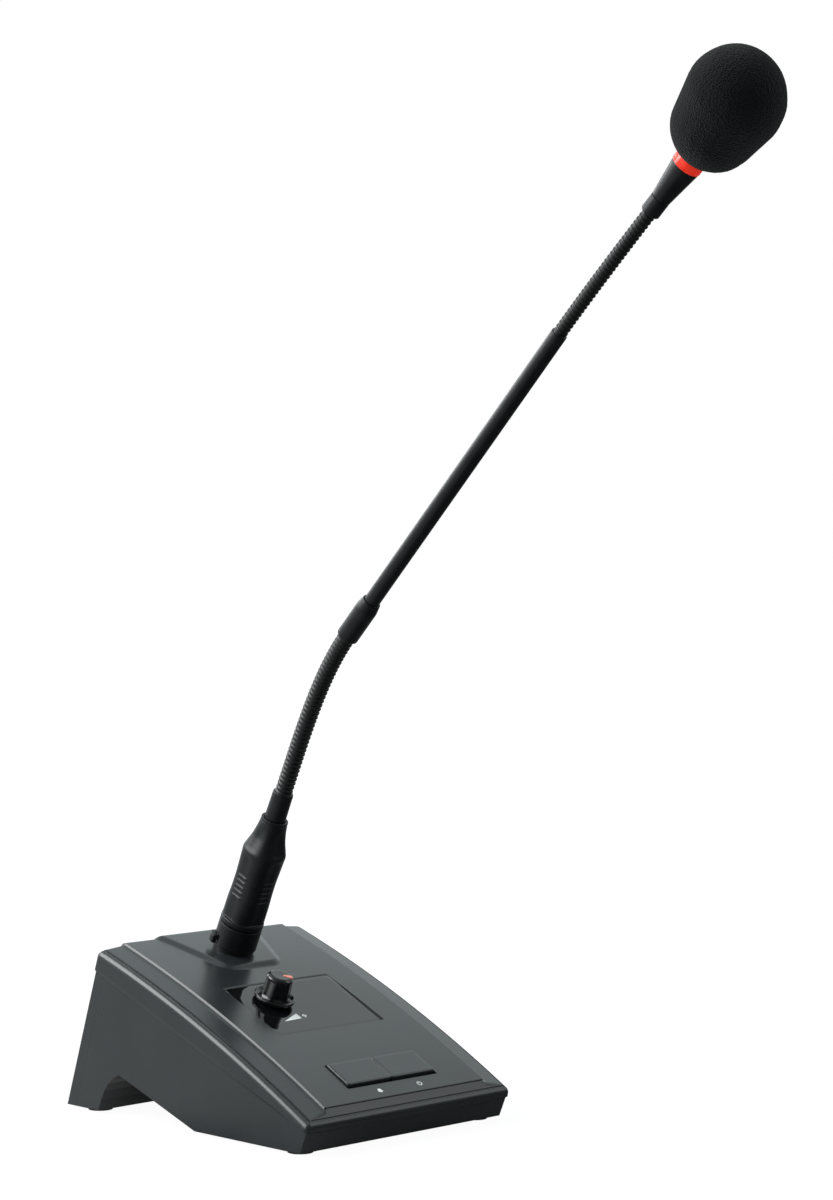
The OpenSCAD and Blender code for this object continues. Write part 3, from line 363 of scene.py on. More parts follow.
def coverHeight(x, s):
    # the sum of the margin, groove, panel step, pad, film pocket and key slot, less the roll of the rim
    c = cover
    side, front, rear = c["half"] - np.abs(x), s, coverLong - s
    h = c["margin"] * smoothStep((np.minimum(side, front) - c["grooveIn"] - c["grooveW"] + 0.3) / 0.4)
    # the margin rises gently at the sides and steeply in front, so that little of the panel's step shows there
    outer = c["grooveIn"] + c["grooveW"]
    sideRise = c["sideRise"] * np.clip((side - outer) / (c["half"] - c["panelHalf"] - outer), 0, 1)
    sideRise = sideRise + (c["frontRise"] - c["sideRise"]) * smoothStep((c["panelHalf"] + 1.5 - np.abs(x)) / 3)
    rise = np.minimum(sideRise, c["frontRise"] * np.clip((front - outer) / (c["panelIn"] - outer), 0, 1))
    ring = np.minimum(side, front) - c["grooveIn"]
    deep = np.where(side < front, c["grooveD"], c["frontGrooveD"])
    h -= deep * smoothStep(np.minimum(ring, c["grooveW"] - ring) / 0.3 + 0.15)
    w = c["panelRound"]
    panel = smoothStep((c["panelHalf"] - np.abs(x)) / w + 0.5) * smoothStep((s - c["panelIn"]) / w + 0.5)
    h += rise + (c["panelH"] - c["margin"] - rise) * panel
    padShare = (s - c["padFront"]) / (coverLong - c["padFront"])
    padHalf = c["padFrontHalf"] + (c["padRearHalf"] - c["padFrontHalf"]) * padShare
    inside = [(s - c["padFront"]) / c["padRamp"] + 0.5, (padHalf - np.abs(x)) / c["padRamp"] + 0.5]
    corner = 1 - np.hypot(*[np.clip(1 - np.clip(i / 1.6, -1, 1), 0, 2) for i in inside])
    h += c["padH"] * smoothStep(corner * 1.6)
    filmDrop = c["filmSink"] - (s - c["filmMid"]) * math.tan(math.radians(c["filmTilt"])) + c["filmT"]
    inFilm = (np.abs(x) < c["filmHalf"]) & (np.abs(s - c["filmMid"]) < c["filmLong"])
    h -= np.where(inFilm, filmDrop, 0)
    h -= np.where((np.abs(x) < c["slotHalf"]) & (s > c["slotFrom"]) & (s < c["slotTo"]), c["slotDeep"], 0)
    e = np.clip(np.minimum(np.minimum(side, front), rear), 0, c["rimR"])
    return h - (c["rimR"] - np.sqrt(np.maximum(c["rimR"] ** 2 - (c["rimR"] - e) ** 2, 0)))


def makeCover():
    # the height over a grid across and up the slope, its outline carried down as a skirt and closed below
    c = cover
    near = [0, 0.02, 0.08, 0.18, 0.32, 0.5, 0.75, 1.05, 1.4, 1.8, 2.1]
    half = gridLines([(0, 60.0, 1.0), (12, 32, 0.4), (c["panelHalf"] - 0.5, c["panelHalf"] + 0.5, 0.1),
                      (c["half"] - 3.8, c["half"] - 2.0, 0.12), (c["slotHalf"] - 0.02, c["slotHalf"], 0.02),
                      (c["filmHalf"] - 0.02, c["filmHalf"], 0.02)]
                     + [(c["half"] - n, c["half"] - n, 1) for n in near])
    x = np.concatenate([-half[:0:-1], half])
    s = gridLines([(0, coverLong, 1.0), (2.0, 3.8, 0.12), (c["panelIn"] - 0.5, c["panelIn"] + 0.5, 0.1),
                   (c["padFront"] - 3, coverLong - 2, 0.5), (c["slotFrom"], c["slotFrom"] + 0.02, 0.02),
                   (c["slotTo"] - 0.02, c["slotTo"], 0.02),
                   (c["filmMid"] - c["filmLong"], c["filmMid"] - c["filmLong"] + 0.02, 0.02),
                   (c["filmMid"] + c["filmLong"] - 0.02, c["filmMid"] + c["filmLong"], 0.02)]
                  + [(n, n, 1) for n in near] + [(coverLong - n, coverLong - n, 1) for n in near])
    sg, xg = np.meshgrid(s, x, indexing="ij")
    h = coverHeight(xg, sg)
    # square corners drawn in to round ones
    r, mid = c["cornerR"], coverLong / 2
    dx, ds = np.abs(xg) - (c["half"] - r), np.abs(sg - mid) - (mid - r)
    both = (dx > 0) & (ds > 0)
    scale = np.where(both, np.maximum(dx, ds) / np.maximum(np.hypot(dx, ds), 1e-9), 1)
    xr = np.where(both, np.sign(xg) * (c["half"] - r + dx * scale), xg)
    sr = np.where(both, mid + np.sign(sg - mid) * (mid - r + ds * scale), sg)
    top = topPoint(xr, sr, h)
    rows, cols = xg.shape
    faces = [gridQuads(rows, cols, False)]
    index = np.arange(rows * cols).reshape(rows, cols)
    loop = np.concatenate([index[0, :-1], index[:-1, -1], index[-1, :0:-1], index[:0:-1, 0]])
    # the skirt: the outline carried down to the parting line, with a small radius at its foot
    rim, part = top.reshape(-1, 3)[loop], (sr.reshape(-1)[loop] / coverLong)[:, None]
    foot = np.concatenate([rim[:, :1], coverFront * (1 - part) + coverRear * part], 1)
    inward = foot * [1 - 0.35 / c["half"], 1, 1]
    rings = [rim + (foot - rim) * t for t in (0.35, 0.7, 0.92)]
    rings += [foot * 0.4 + inward * 0.6 + [0, 0, 0.02], inward]
    n, points = len(loop), [top.reshape(-1, 3)]
    previous = loop
    for ring in rings:
        here = np.arange(n) + sum(len(p) for p in points)
        points.append(ring)
        faces.append(np.stack([previous, here, np.roll(here, -1), np.roll(previous, -1)], -1))
        previous = here
    faces = [f for q in faces for f in q] + [previous[::-1]]
    return makePiece("cover", np.concatenate(points), faces, absCover, 50)


settle(makeCover(), "base", "abs_charcoal", "top_cover")
print("cover made:", round(coverLong, 1), "mm along the top")


# plates with rolled edges: the film and the keycaps
def plate(name, place, halfX, halfY, edge, cornerR, topHeight, bottom, material):
    # a block whose top is a height over x and y, with a quarter-round edge, round corners and a flat underside
    near = np.array([0, 0.06, 0.18, 0.4, 0.7, 1.0]) * edge
    x = np.unique(np.concatenate([-halfX + near, np.linspace(-halfX + edge, halfX - edge, 24), halfX - near]))
    y = np.unique(np.concatenate([-halfY + near, np.linspace(-halfY + edge, halfY - edge, 20), halfY - near]))
    yg, xg = np.meshgrid(y, x, indexing="ij")
    e = np.clip(np.minimum(halfX - np.abs(xg), halfY - np.abs(yg)), 0, edge)
    z = topHeight(xg, yg) - (edge - np.sqrt(np.maximum(edge ** 2 - (edge - e) ** 2, 0)))
    dx, dy = np.abs(xg) - (halfX - cornerR), np.abs(yg) - (halfY - cornerR)
    both = (dx > 0) & (dy > 0)
    scale = np.where(both, np.maximum(dx, dy) / np.maximum(np.hypot(dx, dy), 1e-9), 1)
    xr = np.where(both, np.sign(xg) * (halfX - cornerR + dx * scale), xg)
    yr = np.where(both, np.sign(yg) * (halfY - cornerR + dy * scale), yg)
    rows, cols = xg.shape
    index = np.arange(rows * cols).reshape(rows, cols)
    loop = np.concatenate([index[0, :-1], index[:-1, -1], index[-1, :0:-1], index[:0:-1, 0]])
    top = np.stack([xr, yr, z], -1).reshape(-1, 3)
    foot = np.concatenate([top[loop][:, :2], np.full((len(loop), 1), bottom)], 1)
    here = np.arange(len(loop)) + len(top)
    skirt = np.stack([loop, here, np.roll(here, -1), np.roll(loop, -1)], -1)
    faces = [*gridQuads(rows, cols, False), *skirt, here[::-1]]
    return makePiece(name, place(np.concatenate([top, foot])), faces, material, 50)


def placeOnTop(s, lift, x=0.0, tilt=0.0):
    # a frame on the crowned top: x across, y up the slope, z along the normal
    origin = topPoint(np.array(0.0), np.array(s), np.array(lift))
    return lambda p: onAxis(p, origin[1:], slopeAt(s) + tilt) + [x, 0, 0]


film = {"halfX": 30.9, "halfY": 19.9, "edge": 0.2, "cornerR": 0.9}
placeFilm = placeOnTop(cover["filmMid"], cover["panelH"] - cover["filmSink"], 0.0, cover["filmTilt"])
filmPiece = plate("film", placeFilm, film["halfX"], film["halfY"], film["edge"], film["cornerR"],
                  lambda x, y: 0 * x, -cover["filmT"], filmAcrylic)
settle(filmPiece, "base", "gloss_film", "panel_film")

key = {"width": 25.4, "long": 15.4, "gap": 0.45, "mid": 24.8, "rise": 1.05, "frontRise": 1.2, "bottom": -2.9,
       "edge": 0.7, "cornerR": 0.8}
for side, body in ((-1, "bell_key"), (1, "power_key")):
    offset = side * (key["width"] + key["gap"]) / 2
    tilt = (key["rise"] - key["frontRise"]) / key["long"]
    cap = plate(body + "cap", placeOnTop(key["mid"], cover["panelH"], offset), key["width"] / 2, key["long"] / 2,
                key["edge"], key["cornerR"], lambda x, y: key["frontRise"] + (y + key["long"] / 2) * tilt,
                key["bottom"], absKey)
    settle(cap, body, "abs_key", body)
print("film and keys made")


# printed marks: thin flat shapes on the film and the panel
def printed(name, place, outlines, thick=0.04):
    # flat outlines given thickness: each outline above, its copy below and a wall between
    points, faces = [], []
    for outline in outlines:
        o = np.asarray(outline, float)
        n, first = len(o), sum(len(p) for p in points)
        points += [np.c_[o, np.full(n, thick)], np.c_[o, np.full(n, -thick)]]
        up, low = np.arange(n) + first, np.arange(n) + first + n
        faces += [up, low[::-1], *np.stack([low, np.roll(low, -1), np.roll(up, -1), up], -1)]
    return settle(makePiece(name, place(np.concatenate(points)), faces, printWhite), "base", "abs_charcoal")


def bar(x0, y0, x1, y1, w):
    # a straight stroke: its two ends moved half its width to either side
    d = np.array([x1 - x0, y1 - y0])
    n = np.array([-d[1], d[0]]) / np.linalg.norm(d) * w / 2
    a, b = np.array([x0, y0]), np.array([x1, y1])
    return [a - n, b - n, b + n, a + n]


def arcStroke(cx, cy, r, w, a0, a1, n=24):
    # a round stroke between two angles: an outer arc and an inner one back
    a = np.radians(np.linspace(a0, a1, n))
    outer = np.c_[cx + (r + w / 2) * np.cos(a), cy + (r + w / 2) * np.sin(a)]
    inner = np.c_[cx + (r - w / 2) * np.cos(a), cy + (r - w / 2) * np.sin(a)]
    return np.concatenate([outer, inner[::-1]])


marks = {"wedge": [(-19.6, -9.8), (-9.4, -5.3), (-9.2, -9.4)],
         "plus": (-6.4, -7.8), "plusSize": 2.6, "plusStroke": 0.75,
         "signsUp": 11.6, "bellX": -11.6, "powerX": 12.0, "signStroke": 0.4,
         "bell": [(-1.5, -1.0), (1.5, -1.0), (1.05, -0.35), (0.9, 0.5), (0.45, 1.05), (-0.45, 1.05), (-0.9, 0.5),
                  (-1.05, -0.35)]}
(plusX, plusY), plusHalf, plusStroke = marks["plus"], marks["plusSize"] / 2, marks["plusStroke"]
printed("volumeMarks", placeFilm, [marks["wedge"], bar(plusX - plusHalf, plusY, plusX + plusHalf, plusY, plusStroke),
                                   bar(plusX, plusY - plusHalf, plusX, plusY + plusHalf, plusStroke)])
bellX, powerX, signStroke = marks["bellX"], marks["powerX"], marks["signStroke"]
printed("keySigns", placeOnTop(marks["signsUp"], cover["panelH"]),
        [[(x + bellX, y) for x, y in marks["bell"]], bar(bellX - 0.4, -1.35, bellX + 0.4, -1.35, signStroke),
         arcStroke(powerX, -0.1, 1.15, signStroke, 125, 415), bar(powerX, 0.0, powerX, 1.35, signStroke)])
print("printed marks made")

# knob: a flange and a scalloped grip with a bevelled top
knob = {"x": -13.2, "s": 84.4, "lift": 0.4, "flangeR": 9.2, "flangeT": 1.5, "boreR": 6.3, "boreD": 1.4,
        "footR": 6.8, "topR": 5.95, "high": 10.8, "bevel": 1.7, "scallops": 6, "scallopD": 0.75, "scallopTurn": 0.09,
        "pointerTurn": -35.0}
placeKnob = placeOnTop(knob["s"], cover["panelH"], knob["x"])


def makeKnob():
    # a dished flange, then a grip that tapers to a bevelled top
    k = knob
    under, flange = k["lift"], k["lift"] + k["flangeT"]
    top = flange + k["high"]
    profile = [(0, under + k["boreD"]), (k["boreR"], under + k["boreD"]), (k["boreR"], under + 0.3),
               (k["flangeR"] - 1.2, under), (k["flangeR"], under + 0.9), (k["flangeR"], flange + 0.75),
               (k["flangeR"] - 0.5, flange + 0.75), (k["footR"] + 0.3, flange - 0.35), (k["footR"], flange + 0.3),
               (k["topR"] + 0.15, top - k["bevel"]), (k["topR"] - 0.2, top - 0.9), (k["topR"] - 1.3, top),
               (0, top - 0.1)]

    def scallop(r, angle, z):
        # the grip's radius less a wave round it, which fades out at the flange and at the bevel
        rise = smoothStep((z - flange - 0.2) / 1.2) * smoothStep((top - k["bevel"] + 0.4 - z) / 1.1)
        wave = np.clip(np.cos(k["scallops"] * (angle - k["scallopTurn"])) * 0.5 + 0.5, 0, 1) ** 0.8
        return r - k["scallopD"] * rise * wave * np.clip((r - 4.5) / 1.0, 0, 1)
    turnedPiece("knob", profile, [0, .2, .2, .3, .3, .3, .3, .3, .3, .5, .7, .5, 0], 0.3, 128, placeKnob, knobGloss,
                ("knob", "gloss_black", "volume_knob"), scallop)
    return top


knobTop = makeKnob()


def placePointer(p):
    # a wedge that widens towards the rim, laid over the knob's bevel and turned with the knob
    x, y = p[..., 0] + 3.3, p[..., 1] * (0.8 + 0.12 * p[..., 0])
    fall = 0.9 * np.clip((x - knob["topR"] + 1.2) / 1.2, 0, 1.2) ** 2
    c, k = math.cos(math.radians(knob["pointerTurn"])), math.sin(math.radians(knob["pointerTurn"]))
    return placeKnob(np.stack([x * c - y * k, x * k + y * c, p[..., 2] + knobTop - 0.1 - fall], -1))


pointer = plate("pointer", placePointer, 2.2, 1.35, 0.12, 0.3, lambda x, y: 0.12 + 0 * x, -0.25, pointerPaint)
settle(pointer, "knob", "pointer_orange", "knob_pointer")
# a paler strip down the pointer's middle: a painted highlight
highlightStripe = plate("pointerHighlightStripe", placePointer, 1.9, 0.42, 0.05, 0.2, lambda x, y: 0.16 + 0 * x, 0.02, pointerHighlight)
settle(highlightStripe, "knob", "pointer_orange")
print("knob made")

# socket collar, release tab, plug and boot, on the plug's axis
plug = {"s": 130.0, "lean": 25.2, "flat": 1.15, "flatFrom": 16.3, "flatFade": 52.0, "bootFlat": 1.25,
        "bootFrom": 49.0, "bootFade": 66.0, "seam": 49.8, "gripSkin": 8.3, "bootSkin": 5.6, "ribs": (28.0, 2.5, 5),
        "ribH": 0.5, "ribW": 0.36, "bootTop": 67.3, "ferruleLong": 13.4}
plugFoot = topPoint(np.array(0.0), np.array(plug["s"]), np.array(cover["panelH"] + cover["padH"]))[1:]


def placePlug(p):
    # heights along the plug's axis, from the pad
    return onAxis(p, plugFoot, plug["lean"])


collar = {"outerR": 10.0, "neckR": 9.3, "boreR": 8.95, "foot": -2.5, "neckTop": 2.3, "top": 13.2}
tabSpec = {"turn": math.radians(-28), "z": 4.3, "halfW": 3.0, "halfH": 2.0, "proud": 2.2, "under": -0.1, "edge": 0.6,
           "cornerR": 0.7, "pocketR": 8.99, "pocketGap": 0.5}


def tabPocket(r, angle, z):
    # the outer wall sunk behind the release tab, a little deeper than the tab's travel
    off = np.abs((angle - np.pi - tabSpec["turn"] + np.pi) % (2 * np.pi) - np.pi) * 9.6  # mm round the wall
    inside = np.minimum(tabSpec["halfW"] + tabSpec["pocketGap"] - off,
                        tabSpec["halfH"] + tabSpec["pocketGap"] - np.abs(z - tabSpec["z"]))
    return np.where(r > 9.2, r - (r - tabSpec["pocketR"]) * smoothStep(inside / 0.15), r)


collarProfile = [(collar["boreR"], collar["foot"]), (collar["neckR"], collar["foot"]),
                 (collar["neckR"], collar["neckTop"]), (collar["outerR"], collar["neckTop"] + 0.2),
                 (collar["outerR"], collar["top"]), (collar["boreR"], collar["top"]),
                 (collar["boreR"], collar["foot"])]
turnedPiece("collar", collarProfile, [0, 0, .2, .25, .5, .2, 0], 0.3, 216, placePlug, blackCoat,
            ("base", "black_metal", "socket_collar"), tabPocket)


def flats(r, angle, z):
    # four flats on the grip, fading out on the boot, each with a row of ribs
    depth = plug["flat"] * smoothStep((z - plug["flatFrom"]) / 0.3) * smoothStep((plug["flatFade"] - z) / 5.0)
    onBoot = smoothStep((z - plug["bootFrom"]) / 4.0) * smoothStep((plug["bootFade"] - z) / 9.0)
    depth = depth + plug["bootFlat"] * onBoot
    face = np.clip(np.cos(4 * angle) * 0.5 + 0.5, 0, 1)
    first, pitch, count = plug["ribs"]
    ribs = sum(np.exp(-((z - first - i * pitch) / plug["ribW"]) ** 2) for i in range(count))
    outer = np.clip((r - np.where(z < plug["seam"], plug["gripSkin"], plug["bootSkin"])) / 0.5, 0, 1)
    return r - outer * (depth * face ** 1.3 - plug["ribH"] * ribs * smoothStep((face - 0.55) / 0.2))


gripProfile = [(7.4, 3.0), (8.05, 3.0), (8.05, 13.6), (9.6, 13.6), (10.0, 14.0), (10.0, 15.9), (9.8, 16.25),
               (9.7, 16.4), (9.7, 24.0), (9.4, 31.0), (9.35, 37.0), (9.65, 44.0), (9.95, 50.1), (7.4, 50.1),
               (7.4, 3.0)]
turnedPiece("plugGrip", gripProfile, [0, .2, .2, .3, .3, .2, .1, .1, 2, 2, 2, 2, .03, .2, 0], 0.22, 144, placePlug,
            plugRubber, ("base", "black_metal", "plug_shell"), flats, 60)
bootTop = plug["bootTop"]
bootProfile = [(7.2, 44.2), (7.2, 50.12), (9.95, 50.12), (9.9, 51.0), (9.25, 53.0), (8.35, 55.5), (7.5, 58.2),
               (6.6, 62.6), (6.25, 65.6), (6.05, 65.75), (6.05, 65.95), (6.25, 66.1), (6.2, bootTop),
               (4.95, bootTop), (4.95, 58.2), (3.8, 58.2), (3.8, 44.2), (7.2, 44.2)]
turnedPiece("boot", bootProfile, [0, .1, .03, .8, 1, 1.5, 1.5, 2, .2, .05, .05, .2, .4, .3, .1, .1, .1, 0], 0.4, 144,
            placePlug, plugRubber, ("base", "black_metal", "plug_boot"), flats, 60)


def placeTab(p):
    # z outwards from the collar's wall, x round it, y up the plug's axis
    out, along = -p[..., 2] - collar["outerR"], p[..., 0]
    c, k = math.cos(tabSpec["turn"]), math.sin(tabSpec["turn"])
    return placePlug(np.stack([out * c - along * k, out * k + along * c, p[..., 1] + tabSpec["z"]], -1))


tab = plate("tab", placeTab, tabSpec["halfW"], tabSpec["halfH"], tabSpec["edge"], tabSpec["cornerR"],
            lambda x, y: tabSpec["proud"] - 0.06 * x * x, tabSpec["under"], blackCoat)
settle(tab, "tab", "insert_plastic", "release_tab")
ferruleTop = bootTop + plug["ferruleLong"]
ferruleProfile = [(0, 58.3), (4.8, 58.3), (4.88, bootTop), (4.7, ferruleTop - 0.8), (4.5, ferruleTop),
                  (3.5, ferruleTop + 0.02), (0, ferruleTop - 0.2)]
turnedPiece("ferruleLow", ferruleProfile, [0, .3, .2, .3, .3, .1, 0], 1.0, 64, placePlug, blackCoat,
            ("base", "black_metal", "lower_ferrule"))
print("plug made")

# neck: each flex is one wound tube along its bend, cut at mid-link and bent across each hinge
neck = {"links": 6, "lowLong": 82.5, "upLong": 66.3, "lowR": 4.0, "upR": 3.05, "tubeLean": 45, "headLean": 48,
        "lowPower": 3.6, "upPower": 0.45, "sleeveLong": 22, "tubeLong": 156, "pitch": 2.1, "wireDepth": 0.42}
links = neck["links"]
share = np.arange(links) / (links - 1)
lowLean = plug["lean"] + (neck["tubeLean"] - plug["lean"]) * share ** neck["lowPower"]
upLean = neck["tubeLean"] + (neck["headLean"] - neck["tubeLean"]) * share ** neck["upPower"]
neckStart = plugFoot + ferruleTop * upDir(plug["lean"])
lowPoints = np.cumsum([neckStart] + [neck["lowLong"] / links * upDir(a) for a in lowLean], 0)
tubeTop = lowPoints[-1] + (neck["sleeveLong"] + neck["tubeLong"]) * upDir(neck["tubeLean"])
upPoints = np.cumsum([tubeTop] + [neck["upLong"] / links * upDir(a) for a in upLean], 0)


def bendPath(first, last, lean0, lean1, samples):
    # the lean grows as a power of the length; power and length are found so that the path ends at last
    t = (np.arange(samples) + 0.5) / samples
    best = None
    for power in np.linspace(0.3, 6, 115):
        lean = np.radians(lean0 + (lean1 - lean0) * t ** power)
        step = np.stack([-np.sin(lean), np.cos(lean)], -1)
        chord = step.sum(0) / samples
        length = np.linalg.norm(last - first) / np.linalg.norm(chord)
        miss = np.linalg.norm(first + chord * length - last)
        if best is None or miss < best[0]:
            best = (miss, power, length)
    miss, power, length = best
    lean = np.radians(lean0 + (lean1 - lean0) * t ** power)
    steps = np.cumsum(np.stack([-np.sin(lean), np.cos(lean)], -1), 0)
    path = first + np.concatenate([[[0, 0]], steps]) * length / samples
    along = np.linspace(0, 1, samples + 1)
    return path + (last - path[-1]) * along[:, None], lean0 + (lean1 - lean0) * along ** power, length


def flexPieces(tag, points, leans, radius, nodePrefix):
    # a round section whose radius dips along a helix, carried along the bend
    samples = 720
    path, lean, length = bendPath(points[0], points[-1], leans[0], leans[-1], samples)
    angle = np.linspace(0, 2 * np.pi, 40, endpoint=False)[None, :]
    stops = [0] + [int(round((j + 0.5) / links * samples)) for j in range(1, links - 1)] + [samples]
    for j in range(1, links):
        a, b = stops[j - 1], stops[j]
        along = np.arange(a, b + 1)
        turn = (along[:, None] / samples * length / neck["pitch"] + angle / (2 * np.pi)) % 1
        r = radius - neck["wireDepth"] * np.abs(np.cos(np.pi * turn)) ** 3.0
        leanHere = np.radians(lean[along])[:, None]
        x, y = r * np.cos(angle), r * np.sin(angle)
        ring = np.stack([x, path[along, :1] + y * np.cos(leanHere),
                         path[along, 1:] + y * np.sin(leanHere)], -1)
        quads = gridQuads(len(along), angle.size, True)
        caps = [np.arange(angle.size)[::-1], np.arange(angle.size) + (len(along) - 1) * angle.size]
        obj = makePiece(f"{tag}Flex{j}", ring, [*quads, *caps], flexCoat, 75)
        last = [f"{nodePrefix}_{links}"] if j == links - 1 else []
        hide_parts(f"{nodePrefix}_{j}", *last)
        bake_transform(obj)


flexPieces("lower", lowPoints, lowLean, neck["lowR"], "lower_flex")
flexPieces("upper", upPoints, upLean, neck["upR"], "upper_flex")


def placeMast(p):
    # heights along the rigid tube, from the foot of its sleeve
    return onAxis(p, lowPoints[-1], neck["tubeLean"])


sleeveProfile = [(0, 0.2), (3.9, 0.0), (4.95, 0.0), (4.95, 17.3), (4.25, 21.6), (4.0, 22.0), (3.4, 22.0), (0, 21.8)]
turnedPiece("sleeve", sleeveProfile, [0, .1, .45, .6, .3, .2, .1, 0], 1.0, 72, placeMast, blackCoat,
            ("mast", "black_metal", "coupling_sleeve"))
tubeEnd = neck["sleeveLong"] + neck["tubeLong"]
tubeProfile = [(0, 11.2), (3.5, 11.0), (3.5, tubeEnd), (2.7, tubeEnd), (2.7, tubeEnd - 1), (0, tubeEnd - 1)]
turnedPiece("tube", tubeProfile, [0, .2, .4, .2, .1, 0], 4.0, 72, placeMast, blackCoat,
            ("mast", "black_metal", "neck_tube"))
print("neck made")

# head: ferrule, cone, light ring and foam
head = {"ferruleR": 4.1, "ferruleLong": 7.6, "coneLong": 17.4, "topR": 6.15, "stemR": 5.35, "stemLong": 7.4,
        "ringR": 6.4, "ringLong": 4.5, "ringBoreR": 5.45, "ringLine": 0.12, "basketLong": 34,
        "tipR": 20.4, "baseR": 17.9, "foamLong": 49.9, "foamLap": 0.2, "boreR": 6.7, "lip": 0.6, "foamTilt": 0.045}


def placeHead(p):
    # heights along the head, from the end of the upper flex
    return onAxis(p, upPoints[-1], neck["headLean"])


ringFoot = head["ferruleLong"] + head["coneLong"]
ringTop = ringFoot + head["ringLong"]
topProfile = [(0, 0.2), (2.9, 0.0), (head["ferruleR"], 0.0), (head["ferruleR"], 7.5), (3.2, 7.6), (0, 7.6)]
turnedPiece("ferruleTop", topProfile, [0, .1, .4, .25, .1, 0], 1.0, 64, placeHead, blackCoat,
            ("head", "black_metal", "top_ferrule"))
coneProfile = [(0, 7.62), (head["ferruleR"] - 0.15, 7.62), (head["ferruleR"] + 0.02, 7.9),
               (head["topR"], ringFoot - 0.4), (head["topR"] - 0.1, ringFoot), (head["stemR"], ringFoot),
               (head["stemR"], ringFoot + head["stemLong"]), (0, ringFoot + head["stemLong"])]
turnedPiece("cone", coneProfile, [0, .1, .2, .3, .1, .1, .1, 0], 1.0, 72, placeHead, blackCoat,
            ("head", "black_metal", "capsule_housing"))
ringR, lineR, ringBoreR = head["ringR"], head["ringR"] - head["ringLine"], head["ringBoreR"]
ringProfile = [(ringBoreR, ringFoot), (ringR, ringFoot), (ringR, ringFoot + 0.9), (lineR, ringFoot + 1.0),
               (lineR, ringFoot + 1.2), (ringR, ringFoot + 1.3), (ringR, ringTop), (ringBoreR, ringTop),
               (ringBoreR, ringFoot)]
turnedPiece("lightRing", ringProfile, [0, .25, .05, .05, .05, .05, .2, .1, 0], None, 72, placeHead, ringAcrylic,
            ("head", "ring_red", "light_ring"))


def makeFoam():
    # a round foot and a larger round tip joined by a straight flank, with a bore for the head; the skin is a
    # little uneven and the whole sits slightly askew, as a slipped-on foam does
    h = head
    foot = ringTop - h["foamLap"]
    start = -math.acos((h["boreR"] + h["lip"]) / h["baseR"])
    baseZ, tipZ = foot - h["baseR"] * math.sin(start), foot + h["foamLong"] - h["tipR"]
    flank = -math.asin((h["tipR"] - h["baseR"]) / (tipZ - baseZ))
    low, high = np.linspace(start, flank, 60), np.linspace(flank, np.pi / 2, 90)
    boreTop = ringTop + h["basketLong"] + 0.3
    inner = np.array([(0, boreTop), (h["boreR"], boreTop), (h["boreR"], foot + 0.3), (h["boreR"] + 0.3, foot)])
    profile = np.concatenate([densify(inner, 2.0),
                              np.c_[h["baseR"] * np.cos(low), baseZ + h["baseR"] * np.sin(low)],
                              np.c_[h["tipR"] * np.cos(high), tipZ + h["tipR"] * np.sin(high)]])
    profile[-1, 0] = 0

    def skin(radius, angle, height):
        # the outer radius plus three products of sines, from broad lumps to fine ones
        outer = smoothStep((radius - 8.0) / 2.0)
        lumps = (np.sin(3 * angle + height * 0.31) * np.sin(height * 0.23 + 1.0) * 0.15
                 + np.sin(17 * angle + height * 1.7) * np.sin(height * 1.31) * 0.05
                 + np.sin(41 * angle - height * 2.9) * np.sin(height * 3.7 + 0.5) * 0.05)
        return radius + outer * lumps

    def askew(local):
        # a sideways shift that grows with the height; the bore stays straight on the head
        up = local[..., 2] - foot - 2
        outside = smoothStep((np.hypot(local[..., 0], local[..., 1]) - 6.8) / 3)
        lean = h["foamTilt"] * np.maximum(up, 0) * outside
        lean = np.where(local[..., 2] > boreTop + 1, h["foamTilt"] * up, lean)
        return placeHead(local + np.stack([0 * lean, lean, 0 * lean], -1))
    return makePiece("foam", *turned(profile, 220, askew, skin), foamCell, 80)


foam = settle(makeFoam(), "head", "foam_black", "windscreen")
print("head made")


